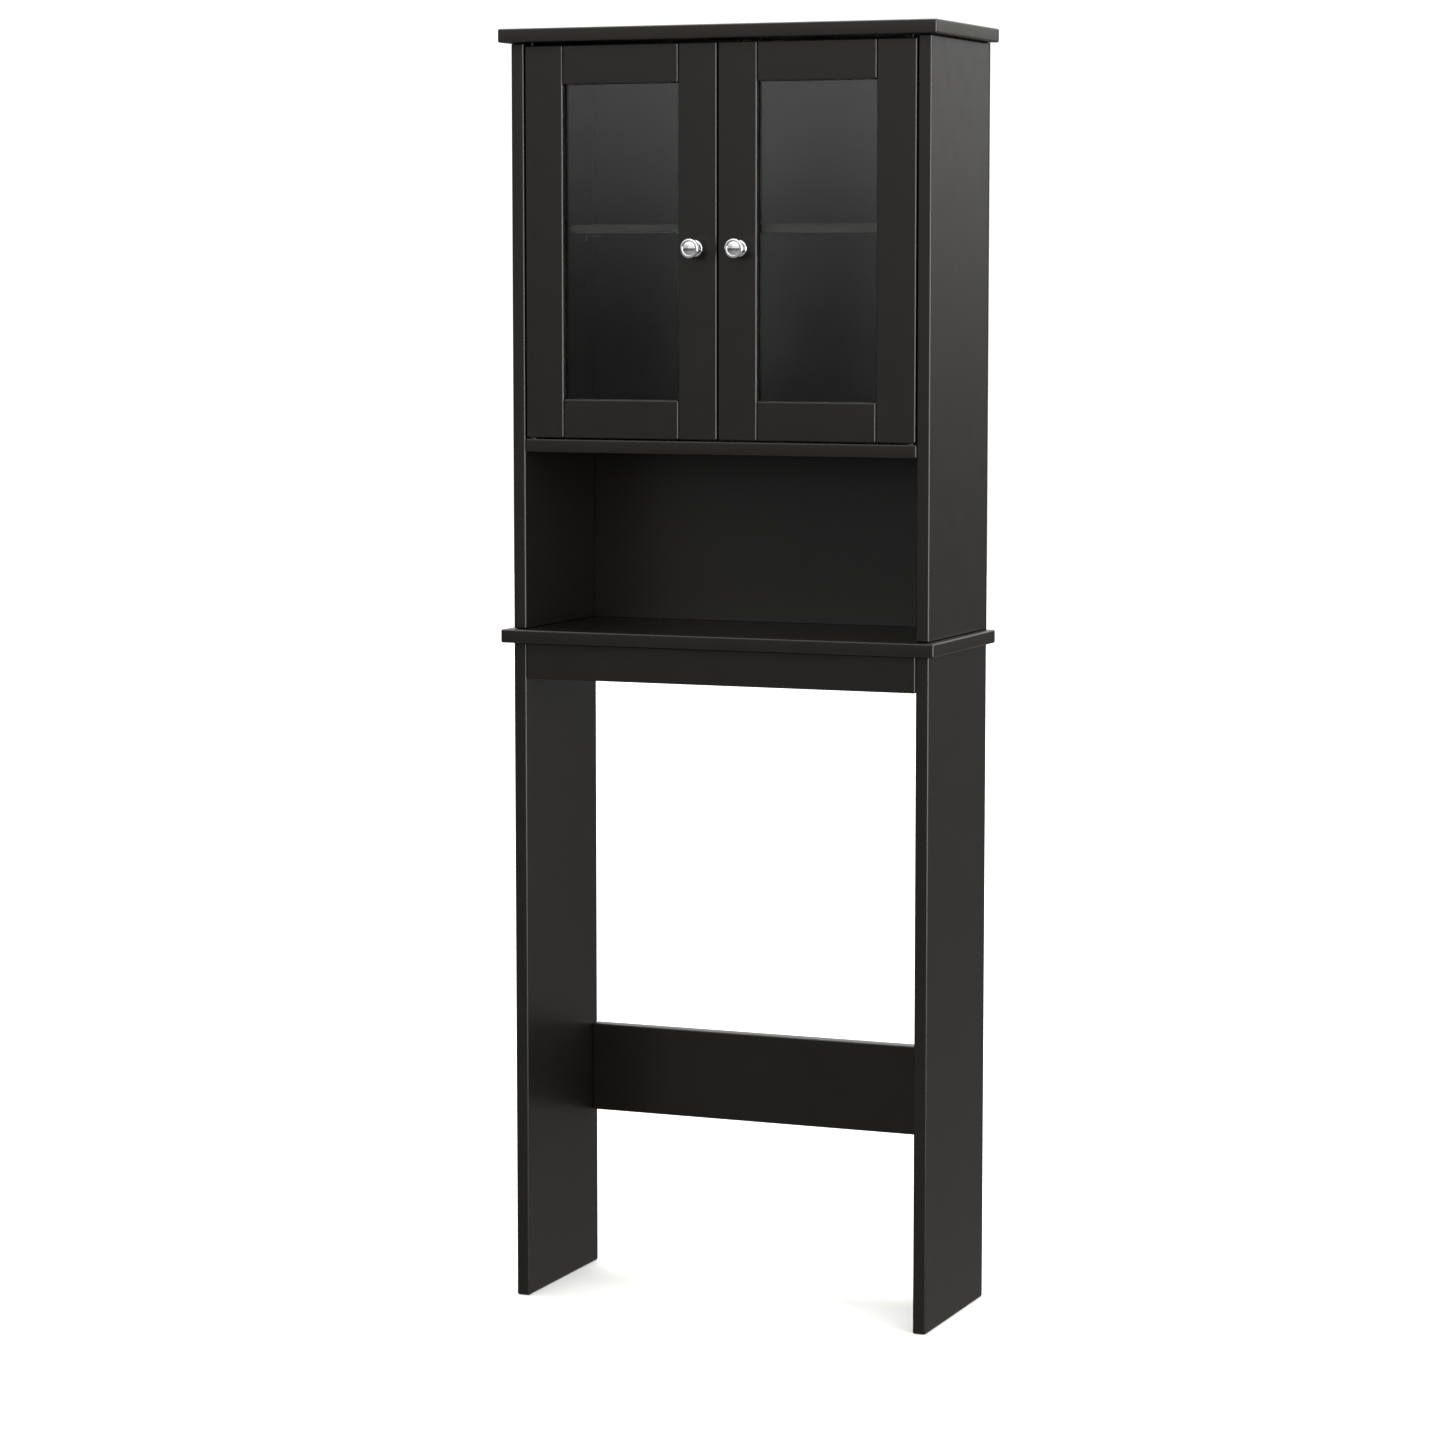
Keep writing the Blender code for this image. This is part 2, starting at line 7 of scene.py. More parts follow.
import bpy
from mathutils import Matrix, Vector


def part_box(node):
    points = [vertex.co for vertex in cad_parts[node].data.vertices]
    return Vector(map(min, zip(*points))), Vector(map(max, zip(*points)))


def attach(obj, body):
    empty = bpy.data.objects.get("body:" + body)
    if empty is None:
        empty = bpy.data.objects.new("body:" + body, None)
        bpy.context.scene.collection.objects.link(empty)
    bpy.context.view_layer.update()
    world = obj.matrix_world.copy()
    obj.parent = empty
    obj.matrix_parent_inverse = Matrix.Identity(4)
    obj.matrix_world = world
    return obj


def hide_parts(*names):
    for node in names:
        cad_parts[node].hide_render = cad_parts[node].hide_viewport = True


bl_info = {
    "name": "Over-the-toilet rack looks",
    "version": (1, 0, 0),
    "blender": (4, 5, 0),
    "location": "3D View > Sidebar > Rack",
    "description": "Eased boards, door frames, hardware and finishes for a storage rack",
    "category": "Object",
}

import math

import bmesh
import bpy
from mathutils import Matrix, Vector

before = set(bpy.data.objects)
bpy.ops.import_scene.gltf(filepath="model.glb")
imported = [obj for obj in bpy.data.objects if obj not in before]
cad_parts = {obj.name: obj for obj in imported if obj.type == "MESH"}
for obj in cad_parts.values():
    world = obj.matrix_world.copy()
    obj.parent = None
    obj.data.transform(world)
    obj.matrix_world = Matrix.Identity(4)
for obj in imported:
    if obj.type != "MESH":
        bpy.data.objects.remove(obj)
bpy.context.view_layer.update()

SIDES = (("left", -1), ("right", 1))
CARCASS = (
    "top_board",
    "mid_board",
    "upper_side_left",
    "upper_side_right",
    "leg_left",
    "leg_right",
    "cabinet_floor",
    "apron_front",
    "lower_brace",
)
DOOR_FRAME = ("stile_outer", "stile_inner", "rail_top", "rail_bottom")
UP = Vector((0, 0, 1))
SORT_WAY = Vector((1, math.e, math.pi))  # a way along which the points of a turned piece don't tie
ROUND = 64  # segments in a turned piece
WELD = 0.000002  # points of a turned piece nearer than this become one
CAD_WELD = 0.000005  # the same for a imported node
FLAT = math.radians(1)  # packed faces that turn less than this are one face
CREASE = math.radians(35)  # an edge of an eased copy that turns more than this is shaded sharp
CORNER = math.radians(40)  # an edge that turns more than this is a real corner
EASE_SHAPE = 0.36  # between a flat chamfer, 0.25, and a true round, 0.5
ENDS_ONLY = 0.99  # spacing, as a share of a path, that puts a head at each end and none between
MIX_BY, MIX_FROM, MIX_TO, MIXED = 0, 6, 7, 2  # a colour Mix node's sockets, whose names repeat


# ---- Small tools --------------------------------------------------------------------------------
def linear(hex_colour):
    """An sRGB hex colour as linear red, green and blue."""
    values = [int(hex_colour[i : i + 2], 16) / 255 for i in (0, 2, 4)]
    return tuple(v / 12.92 if v <= 0.04045 else ((v + 0.055) / 1.055) ** 2.4 for v in values)


def rgba(colour):
    return (*colour, 1.0)


def sizes():
    return bpy.context.scene.rack_sizes


def finishes():
    return bpy.context.scene.rack_finishes


def studio():
    return bpy.context.scene.rack_studio


def new_object(name, mesh):
    obj = bpy.data.objects.new(name, mesh)
    bpy.context.scene.collection.objects.link(obj)
    return obj


def mesh_object(name, form):
    """A new object from a bmesh, which is freed."""
    mesh = bpy.data.meshes.new(name)
    form.to_mesh(mesh)
    form.free()
    return new_object(name, mesh)


def baked(obj):
    """Turns an object and its modifiers into a plain mesh at the origin."""
    graph = bpy.context.evaluated_depsgraph_get()
    mesh = bpy.data.meshes.new_from_object(obj.evaluated_get(graph), depsgraph=graph)
    obj.modifiers.clear()
    obj.data = mesh
    return obj


def add_piece(obj, body, slot, material, *nodes):
    """Gives a finished piece its material, the body it rides on and the nodes it stands for. The slot is not
    used.
    """
    if material:
        obj.data.materials.clear()
        obj.data.materials.append(material)
    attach(obj, body)
    if nodes:
        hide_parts(*nodes)


def finish_node(name, material):
    """Puts a material on a node that is shown as it is."""
    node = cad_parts[name]
    if not node.data.materials:
        node.data.materials.append(material)
    for slot in node.material_slots:
        slot.material = material


def on_planes(point, low, high):
    """How many faces of a box a point lies on."""
    near = 0.00002
    return sum(abs(point[i] - low[i]) < near or abs(point[i] - high[i]) < near for i in range(3))


def eased_copy(node, name, width, steps=4, every_edge=False):
    """A merged copy of a node with rounded edges: its outer ones, or every sharp one.

    Faces on the rounded edges carry an attribute that the lacquer reads to paint them paler: a painted
    highlight, partly also wear.
    """
    form = bmesh.new()
    form.from_mesh(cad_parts[node].data)
    bmesh.ops.remove_doubles(form, verts=form.verts, dist=CAD_WELD)
    bmesh.ops.dissolve_limit(form, angle_limit=FLAT, verts=form.verts, edges=form.edges)
    low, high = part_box(node)
    if every_edge:
        edges = [e for e in form.edges if e.is_manifold and e.calc_face_angle() > CORNER]
    else:
        edges = [e for e in form.edges if on_planes((e.verts[0].co + e.verts[1].co) / 2, low, high) > 1]
    # Marks the rounded faces for paler lacquer: a painted edge highlight, partly also wear.
    highlit_and_worn = form.faces.layers.float.new("edge_highlight_and_wear")
    rounded = bmesh.ops.bevel(
        form,
        geom=edges,
        offset=width,
        segments=steps,
        profile=EASE_SHAPE,
        affect="EDGES",
        clamp_overlap=True,
    )
    for face in rounded["faces"]:
        face[highlit_and_worn] = 1.0
    for face in form.faces:
        face.smooth = True
    for edge in form.edges:
        edge.smooth = edge.is_manifold and edge.calc_face_angle() < CREASE
    obj = mesh_object(name, form)
    weighted = obj.modifiers.new("Flat faces stay flat", "WEIGHTED_NORMAL")
    weighted.keep_sharp = True
    return baked(obj)


def turned(name, profile, place, axis, segments=ROUND):
    """A closed solid of revolution from (radius, height) points, standing on a place along an axis."""
    form = bmesh.new()
    verts = [form.verts.new((radius, 0, height)) for radius, height in profile]
    edges = [form.edges.new(pair) for pair in zip(verts, verts[1:])]
    bmesh.ops.spin(
        form, geom=verts + edges, cent=(0, 0, 0), axis=UP, angle=math.tau, steps=segments, use_merge=True
    )
    bmesh.ops.remove_doubles(form, verts=form.verts, dist=WELD)
    bmesh.ops.recalc_face_normals(form, faces=form.faces)
    # Welding leaves points and faces in a different order each run.
    form.verts.sort(key=lambda vert: vert.co.dot(SORT_WAY))
    form.faces.sort(key=lambda face: face.calc_center_median().dot(SORT_WAY))
    turn = Vector(axis).to_track_quat("Z", "Y").to_matrix().to_4x4()
    bmesh.ops.transform(form, matrix=Matrix.Translation(place) @ turn, verts=form.verts)
    for face in form.faces:
        face.smooth = True
    for edge in form.edges:
        edge.smooth = edge.is_manifold and edge.calc_face_angle() < CORNER
    return mesh_object(name, form)


def arc(centre, radius, start, end, steps):
    """Points on an arc, its angles in degrees from the radial direction."""
    angles = [math.radians(start + (end - start) * step / steps) for step in range(steps + 1)]
    return [(centre[0] + radius * math.cos(a), centre[1] + radius * math.sin(a)) for a in angles]


def block(name, middle, shape, axis=UP, taper=1.0):
    """A box round a point, its z along an axis; taper narrows its lower end."""
    form = bmesh.new()
    bmesh.ops.create_cube(form, size=1)
    bmesh.ops.scale(form, vec=shape, verts=form.verts)
    bmesh.ops.scale(form, vec=(taper, taper, 1), verts=[v for v in form.verts if v.co.z < 0])
    turn = Vector(axis).to_track_quat("Z", "Y").to_matrix().to_4x4()
    bmesh.ops.transform(form, matrix=Matrix.Translation(middle) @ turn, verts=form.verts)
    return mesh_object(name, form)


def cut(obj, cutter):
    """Cuts one closed mesh out of another, and removes the cutter."""
    boolean = obj.modifiers.new("Cut", "BOOLEAN")
    boolean.object = cutter
    baked(obj)
    bpy.data.objects.remove(cutter)


def cut_cross(obj, place, axis, reach, width, depth):
    """Cuts a screwdriver's cross recess in a head whose face is at a place."""
    for shape in ((reach, width, depth), (width, reach, depth)):
        cut(obj, block("recess_cutter", place, Vector(shape) * 2, axis, taper=0.55))


def pan_crown(radius):
    """The height of a pan head, and the outline of its top from the middle to the rim."""
    height, crown = radius * 0.57, radius / 2
    return height, [(0, height)] + arc((crown, height - crown), crown, 80, 0, 6)


def cut_pan_recess(obj, radius, place, axis):
    """Cuts the cross recess of a pan head that stands on a place."""
    height, _ = pan_crown(radius)
    face = Vector(place) + Vector(axis) * height
    cut_cross(obj, face, axis, radius * 0.5, radius * 0.11, height * 0.6)


def pan_head(name, radius, place=(0, 0, 0), axis=UP):
    """The head of a pan-head screw, sunk a quarter of its height into what it stands on."""
    height, profile = pan_crown(radius)
    profile += [(radius, -height / 4), (0, -height / 4)]
    head = turned(name, profile, place, axis, segments=40)
    cut_pan_recess(head, radius, place, axis)
    return head


def upright(node):
    """The foot, radius and height of a round node that stands upright."""
    low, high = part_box(node)
    return Vector(((low.x + high.x) / 2, (low.y + high.y) / 2, low.z)), (high.x - low.x) / 2, high.z - low.z


# ---- Node trees ---------------------------------------------------------------------------------
def add_node(tree, kind, settings=None, inputs=None):
    """Adds a node with its own settings, and a value or a link for each input.

    Inputs go by name, or by number where the names repeat, as on Math and Mix nodes.
    """
    node = tree.nodes.new(kind)
    for name, value in (settings or {}).items():
        setattr(node, name, value)
    for name, value in (inputs or {}).items():
        if isinstance(value, bpy.types.NodeSocket):
            tree.links.new(value, node.inputs[name])
        else:
            node.inputs[name].default_value = value
    return node


def finish(make):
    """The material that a maker function builds, built when it is first asked for.

    A maker gets the node tree, its shader, and the place in metres that its patterns are laid out in.
    """
    material = bpy.data.materials.get(make.__name__)
    if material is None:
        material = bpy.data.materials.new(make.__name__)
        material.use_nodes = True
        tree = material.node_tree
        place = add_node(tree, "ShaderNodeTexCoord").outputs["Object"]
        make(tree, tree.nodes["Principled BSDF"], place)
    return material


def satin_black_lacquer(tree, shader, place):
    """Satin polyurethane lacquer sprayed on fibreboard.

    The eye gets a nearly black, faintly warm colour that drifts a little across a board, a soft broad sheen,
    the fine ripple that a spray gun leaves, and paler edges: a painted highlight, partly also lacquer worn
    thin.
    """
    colours = finishes()
    drift = add_node(
        tree, "ShaderNodeTexNoise", inputs={"Vector": place, "Scale": 1 / 0.18, "Detail": 3.0}
    )
    tone = add_node(
        tree,
        "ShaderNodeMix",
        {"data_type": "RGBA"},
        {
            MIX_BY: drift.outputs["Fac"],
            MIX_FROM: rgba(colours.lacquer),
            MIX_TO: rgba(colours.lacquer_light),
        },
    )
    # Paler eased edges: a painted highlight along every edge, partly also lacquer worn thin there.
    edge = add_node(tree, "ShaderNodeAttribute", {"attribute_name": "edge_highlight_and_wear"})
    highlight_and_wear_patches = add_node(
        tree, "ShaderNodeTexNoise", inputs={"Vector": place, "Scale": 1 / 0.012, "Detail": 4.0}
    )
    highlit_and_worn = add_node(
        tree,
        "ShaderNodeMapRange",
        inputs={
            "Value": highlight_and_wear_patches.outputs["Fac"],
            "From Min": 0.35, "From Max": 0.7, "To Min": 0.45, "To Max": 1.0,
        },
    )
    amount = add_node(
        tree,
        "ShaderNodeMath",
        {"operation": "MULTIPLY"},
        {0: edge.outputs["Fac"], 1: highlit_and_worn.outputs["Result"]},
    )
    colour = add_node(
        tree,
        "ShaderNodeMix",
        {"data_type": "RGBA"},
        {
            MIX_BY: amount.outputs["Value"],
            MIX_FROM: tone.outputs[MIXED],
            MIX_TO: rgba(colours.lacquer_edge_highlight_and_wear),
        },
    )
    patches = add_node(
        tree, "ShaderNodeTexNoise", inputs={"Vector": place, "Scale": 1 / 0.035, "Detail": 5.0}
    )
    gloss = add_node(
        tree,
        "ShaderNodeMapRange",
        inputs={
            "Value": patches.outputs["Fac"],
            "From Min": 0.3, "From Max": 0.7, "To Min": 0.30, "To Max": 0.34,
        },
    )
    # Spray ripple is about 2.5 mm from crest to crest.
    ripple = add_node(
        tree, "ShaderNodeTexNoise", inputs={"Vector": place, "Scale": 1 / 0.0025, "Detail": 2.0}
    )
    bump = add_node(
        tree,
        "ShaderNodeBump",
        inputs={"Height": ripple.outputs["Fac"], "Strength": 0.25, "Distance": 0.0001},
    )
    tree.links.new(colour.outputs[MIXED], shader.inputs["Base Color"])
    tree.links.new(gloss.outputs["Result"], shader.inputs["Roughness"])
    tree.links.new(bump.outputs["Normal"], shader.inputs["Normal"])
    shader.inputs["IOR"].default_value = 1.5


def black_faced_hardboard(tree, shader, place):
    """Hardboard with a printed black paper face.

    The eye gets a flatter, duller black than the lacquer, with the paper's fine tooth.
    """
    mottle = add_node(
        tree, "ShaderNodeTexNoise", inputs={"Vector": place, "Scale": 1 / 0.06, "Detail": 4.0}
    )
    tone = add_node(
        tree,
        "ShaderNodeMix",
        {"data_type": "RGBA"},
        {
            MIX_BY: mottle.outputs["Fac"],
            MIX_FROM: rgba(finishes().lacquer),
            MIX_TO: rgba(finishes().lacquer_light),
        },
    )
    tooth = add_node(
        tree, "ShaderNodeTexNoise", inputs={"Vector": place, "Scale": 1 / 0.0015, "Detail": 3.0}
    )
    bump = add_node(
        tree,
        "ShaderNodeBump",
        inputs={"Height": tooth.outputs["Fac"], "Strength": 0.12, "Distance": 0.00008},
    )
    tree.links.new(tone.outputs[MIXED], shader.inputs["Base Color"])
    tree.links.new(bump.outputs["Normal"], shader.inputs["Normal"])
    shader.inputs["Roughness"].default_value = 0.40
    shader.inputs["IOR"].default_value = 1.5


def raw_hardboard(tree, shader, place):
    """The bare back of hardboard, pressed on a wire screen.

    The eye gets dull brown fibre with flecks, and the screen's square dimples.
    """
    fibre = add_node(
        tree,
        "ShaderNodeTexNoise",
        inputs={"Vector": place, "Scale": 1 / 0.004, "Detail": 8.0, "Roughness": 0.7},
    )
    tone = add_node(
        tree,
        "ShaderNodeMix",
        {"data_type": "RGBA"},
        {
            MIX_BY: fibre.outputs["Fac"],
            MIX_FROM: rgba(finishes().hardboard_dark),
            MIX_TO: rgba(finishes().hardboard_light),
        },
    )
    # The screen's wires are about 2 mm apart, and a wave at scale 0.314 repeats every metre.
    warp, weft = (
        add_node(
            tree,
            "ShaderNodeTexWave",
            {"wave_type": "BANDS", "bands_direction": direction},
            {"Vector": place, "Scale": 0.314 / 0.002, "Distortion": 0.4, "Detail": 1.0},
        ).outputs["Fac"]
        for direction in "XZ"
    )
    grid = add_node(tree, "ShaderNodeMath", {"operation": "MULTIPLY"}, {0: warp, 1: weft})
    bump = add_node(
        tree, "ShaderNodeBump", inputs={"Height": grid.outputs["Value"], "Strength": 0.5, "Distance": 0.0003}
    )
    tree.links.new(tone.outputs[MIXED], shader.inputs["Base Color"])
    tree.links.new(bump.outputs["Normal"], shader.inputs["Normal"])
    shader.inputs["Roughness"].default_value = 0.82


def clear_float_glass(tree, shader, place):
    """Clear float glass with ground edges, wiped clean.

    The eye gets a sharp reflection over a dark inside, a trace of green, and faint wiping smears.
    """
    stretch = add_node(tree, "ShaderNodeMapping", inputs={"Vector": place, "Scale": (1.0, 1.0, 0.45)})
    smear = add_node(
        tree,
        "ShaderNodeTexNoise",
        inputs={"Vector": stretch.outputs["Vector"], "Scale": 1 / 0.07, "Detail": 6.0, "Distortion": 0.6},
    )
    haze = add_node(
        tree,
        "ShaderNodeMapRange",
        inputs={
            "Value": smear.outputs["Fac"],
            "From Min": 0.5, "From Max": 0.8, "To Min": 0.0, "To Max": 0.06,
        },
    )
    tree.links.new(haze.outputs["Result"], shader.inputs["Roughness"])
    shader.inputs["Base Color"].default_value = rgba(finishes().glass)
    shader.inputs["Transmission Weight"].default_value = 1.0
    shader.inputs["IOR"].default_value = 1.52


def polished_chrome(tree, shader, place):
    """Zinc casting, polished and chrome plated.

    The eye gets a bright mirror with a cool cast, and faint cloudy finger marks.
    """
    marks = add_node(
        tree, "ShaderNodeTexNoise", inputs={"Vector": place, "Scale": 1 / 0.006, "Detail": 4.0}
    )
    haze = add_node(
        tree,
        "ShaderNodeMapRange",
        inputs={
            "Value": marks.outputs["Fac"],
            "From Min": 0.45, "From Max": 0.75, "To Min": 0.12, "To Max": 0.22,
        },
    )
    tree.links.new(haze.outputs["Result"], shader.inputs["Roughness"])
    shader.inputs["Base Color"].default_value = rgba(finishes().chrome)
    shader.inputs["Metallic"].default_value = 1.0


def bright_drawn_steel(tree, shader, place):
    """Low-carbon steel, drawn or stamped and left bright.

    The eye gets a grey metal with fine lines along one way and a soft streaked reflection.
    """
    stretch = add_node(tree, "ShaderNodeMapping", inputs={"Vector": place, "Scale": (1.0, 0.08, 0.08)})
    lines = add_node(
        tree,
        "ShaderNodeTexNoise",
        inputs={"Vector": stretch.outputs["Vector"], "Scale": 1 / 0.0004, "Detail": 2.0},
    )
    gloss = add_node(
        tree,
        "ShaderNodeMapRange",
        inputs={
            "Value": lines.outputs["Fac"],
            "From Min": 0.3, "From Max": 0.7, "To Min": 0.2, "To Max": 0.36,
        },
    )
    bump = add_node(
        tree, "ShaderNodeBump", inputs={"Height": lines.outputs["Fac"], "Strength": 0.2, "Distance": 0.00003}
    )
    tree.links.new(gloss.outputs["Result"], shader.inputs["Roughness"])
    tree.links.new(bump.outputs["Normal"], shader.inputs["Normal"])
    shader.inputs["Base Color"].default_value = rgba(finishes().steel)
    shader.inputs["Metallic"].default_value = 1.0


def blackened_steel(tree, shader, place):
    """Steel blackened in hot oxide salts, then oiled.

    The eye gets a dark blue-black metal with a soft, slightly cloudy reflection.
    """
    cloud = add_node(
        tree, "ShaderNodeTexNoise", inputs={"Vector": place, "Scale": 1 / 0.003, "Detail": 3.0}
    )
    tone = add_node(
        tree,
        "ShaderNodeMix",
        {"data_type": "RGBA"},
        {
            MIX_BY: cloud.outputs["Fac"],
            MIX_FROM: rgba(finishes().blacked),
            MIX_TO: rgba(finishes().blacked_light),
        },
    )
    gloss = add_node(
        tree,
        "ShaderNodeMapRange",
        inputs={
            "Value": cloud.outputs["Fac"],
            "From Min": 0.3, "From Max": 0.7, "To Min": 0.45, "To Max": 0.6,
        },
    )
    tree.links.new(tone.outputs[MIXED], shader.inputs["Base Color"])
    tree.links.new(gloss.outputs["Result"], shader.inputs["Roughness"])
    shader.inputs["Metallic"].default_value = 1.0


def zinc_plated_steel(tree, shader, place):
    """Steel with a clear-passivated zinc plate.

    The eye gets a dull, faintly blue metal whose reflection changes in small patches.
    """
    grains = add_node(
        tree, "ShaderNodeTexVoronoi", {"feature": "SMOOTH_F1"}, {"Vector": place, "Scale": 1 / 0.0016}
    )
    gloss = add_node(
        tree,
        "ShaderNodeMapRange",
        inputs={
            "Value": grains.outputs["Distance"],
            "From Min": 0.0, "From Max": 0.8, "To Min": 0.3, "To Max": 0.5,
        },
    )
    tone = add_node(
        tree,
        "ShaderNodeMix",
        {"data_type": "RGBA"},
        {
            MIX_BY: grains.outputs["Distance"],
            MIX_FROM: rgba(finishes().zinc),
            MIX_TO: rgba(finishes().zinc_dark),
        },
    )
    tree.links.new(tone.outputs[MIXED], shader.inputs["Base Color"])
    tree.links.new(gloss.outputs["Result"], shader.inputs["Roughness"])
    shader.inputs["Metallic"].default_value = 1.0


def moulded_black_nylon(tree, shader, place):
    """Black nylon from a spark-eroded mould.

    The eye gets a soft dark grey-black with a fine even grain and no clear reflection.
    """
    grain = add_node(
        tree, "ShaderNodeTexNoise", inputs={"Vector": place, "Scale": 1 / 0.0006, "Detail": 3.0}
    )
    gloss = add_node(
        tree,
        "ShaderNodeMapRange",
        inputs={
            "Value": grain.outputs["Fac"],
            "From Min": 0.3, "From Max": 0.7, "To Min": 0.42, "To Max": 0.58,
        },
    )
    bump = add_node(
        tree, "ShaderNodeBump", inputs={"Height": grain.outputs["Fac"], "Strength": 0.3, "Distance": 0.00005}
    )
    tree.links.new(gloss.outputs["Result"], shader.inputs["Roughness"])
    tree.links.new(bump.outputs["Normal"], shader.inputs["Normal"])
    shader.inputs["Base Color"].default_value = rgba(finishes().nylon)
    shader.inputs["IOR"].default_value = 1.53


# ---- Repeated fixings ---------------------------------------------------------------------------
def heads_tree():
    """A node tree that sets a head at even steps along each path of a mesh, facing the way the path says."""
    tree = bpy.data.node_groups.new("heads_along_paths", "GeometryNodeTree")
    tree.interface.new_socket("Paths", in_out="INPUT", socket_type="NodeSocketGeometry")
    tree.interface.new_socket("Head", in_out="INPUT", socket_type="NodeSocketObject")
    spacing = tree.interface.new_socket("Spacing", in_out="INPUT", socket_type="NodeSocketFloat")
    spacing.subtype = "DISTANCE"
    spacing.default_value = 0.05
    spacing.min_value = 0.001
    tree.interface.new_socket("Turn Seed", in_out="INPUT", socket_type="NodeSocketInt")
    tree.interface.new_socket("Finish", in_out="INPUT", socket_type="NodeSocketMaterial")
    tree.interface.new_socket("Heads", in_out="OUTPUT", socket_type="NodeSocketGeometry")

    given = add_node(tree, "NodeGroupInput").outputs
    curve = add_node(tree, "GeometryNodeMeshToCurve", inputs={"Mesh": given["Paths"]})
    steps = add_node(
        tree,
        "GeometryNodeResampleCurve",
        {"mode": "LENGTH"},
        {"Curve": curve.outputs["Curve"], "Length": given["Spacing"]},
    )
    facing = add_node(
        tree, "GeometryNodeInputNamedAttribute", {"data_type": "FLOAT_VECTOR"}, {"Name": "facing"}
    )
    aim = add_node(
        tree, "FunctionNodeAlignRotationToVector", {"axis": "Z"}, {"Vector": facing.outputs["Attribute"]}
    )
    turn = add_node(
        tree,
        "FunctionNodeRandomValue",
        {"data_type": "FLOAT_VECTOR"},
        {"Max": (0.0, 0.0, math.tau), "Seed": given["Turn Seed"]},
    )
    twist = add_node(tree, "FunctionNodeEulerToRotation", inputs={"Euler": turn.outputs["Value"]})
    both = add_node(
        tree,
        "FunctionNodeRotateRotation",
        {"rotation_space": "LOCAL"},
        {"Rotation": aim.outputs["Rotation"], "Rotate By": twist.outputs["Rotation"]},
    )
    head = add_node(tree, "GeometryNodeObjectInfo", inputs={"Object": given["Head"]})
    heads = add_node(
        tree,
        "GeometryNodeInstanceOnPoints",
        inputs={
            "Points": steps.outputs["Curve"],
            "Instance": head.outputs["Geometry"],
            "Rotation": both.outputs["Rotation"],
        },
    )
    real = add_node(tree, "GeometryNodeRealizeInstances", inputs={"Geometry": heads.outputs["Instances"]})
    painted = add_node(
        tree,
        "GeometryNodeSetMaterial",
        inputs={"Geometry": real.outputs["Geometry"], "Material": given["Finish"]},
    )
    add_node(tree, "NodeGroupOutput", inputs={"Heads": painted.outputs["Geometry"]})
    return tree


def heads_along(name, paths, head, material, slot, spacing=None, seed=0):
    """Repeats a head along straight paths, each given as (start, end, facing), as one piece on the root.

    With no spacing, each path gets a head at each end, and the paths are taken to be equally long.
    """
    if spacing is None:
        start, end, _ = paths[0]
        spacing = (Vector(end) - Vector(start)).length * ENDS_ONLY
    mesh = bpy.data.meshes.new(name)
    points = [point for start, end, facing in paths for point in (start, end)]
    mesh.from_pydata(points, [(i, i + 1) for i in range(0, len(points), 2)], [])
    facings = mesh.attributes.new("facing", "FLOAT_VECTOR", "POINT")
    for index, (start, end, facing) in enumerate(paths):
        facings.data[index * 2].vector = facing
        facings.data[index * 2 + 1].vector = facing
    obj = new_object(name, mesh)
    tree = bpy.data.node_groups.get("heads_along_paths") or heads_tree()
    nodes = obj.modifiers.new("Heads", "NODES")
    nodes.node_group = tree
    values = {"Head": head, "Spacing": spacing, "Turn Seed": seed, "Finish": material}
    for item in tree.interface.items_tree:
        if item.name in values:
            nodes[item.identifier] = values[item.name]
    baked(obj)
    bpy.data.objects.remove(head)
    add_piece(obj, "root", slot, None)


# ---- Pieces ---------------------------------------------------------------------------------------
def lacquer(node, body, width):
    """Replaces a board with an eased and lacquered copy."""
    copy = eased_copy(node, f"{node}_lacquered", width)
    add_piece(copy, body, "board_lacquer", finish(satin_black_lacquer), node)


class RACK_OT_carcass(bpy.types.Operator):
    """Eases and lacquers the carcass boards and the inner shelf"""

    bl_idname = "rack.carcass"
    bl_label = "Carcass boards"

    def execute(self, context):
        for node in CARCASS:
            lacquer(node, "root", sizes().board_ease)
        lacquer("inner_shelf", "shelf", sizes().shelf_ease)
        return {"FINISHED"}


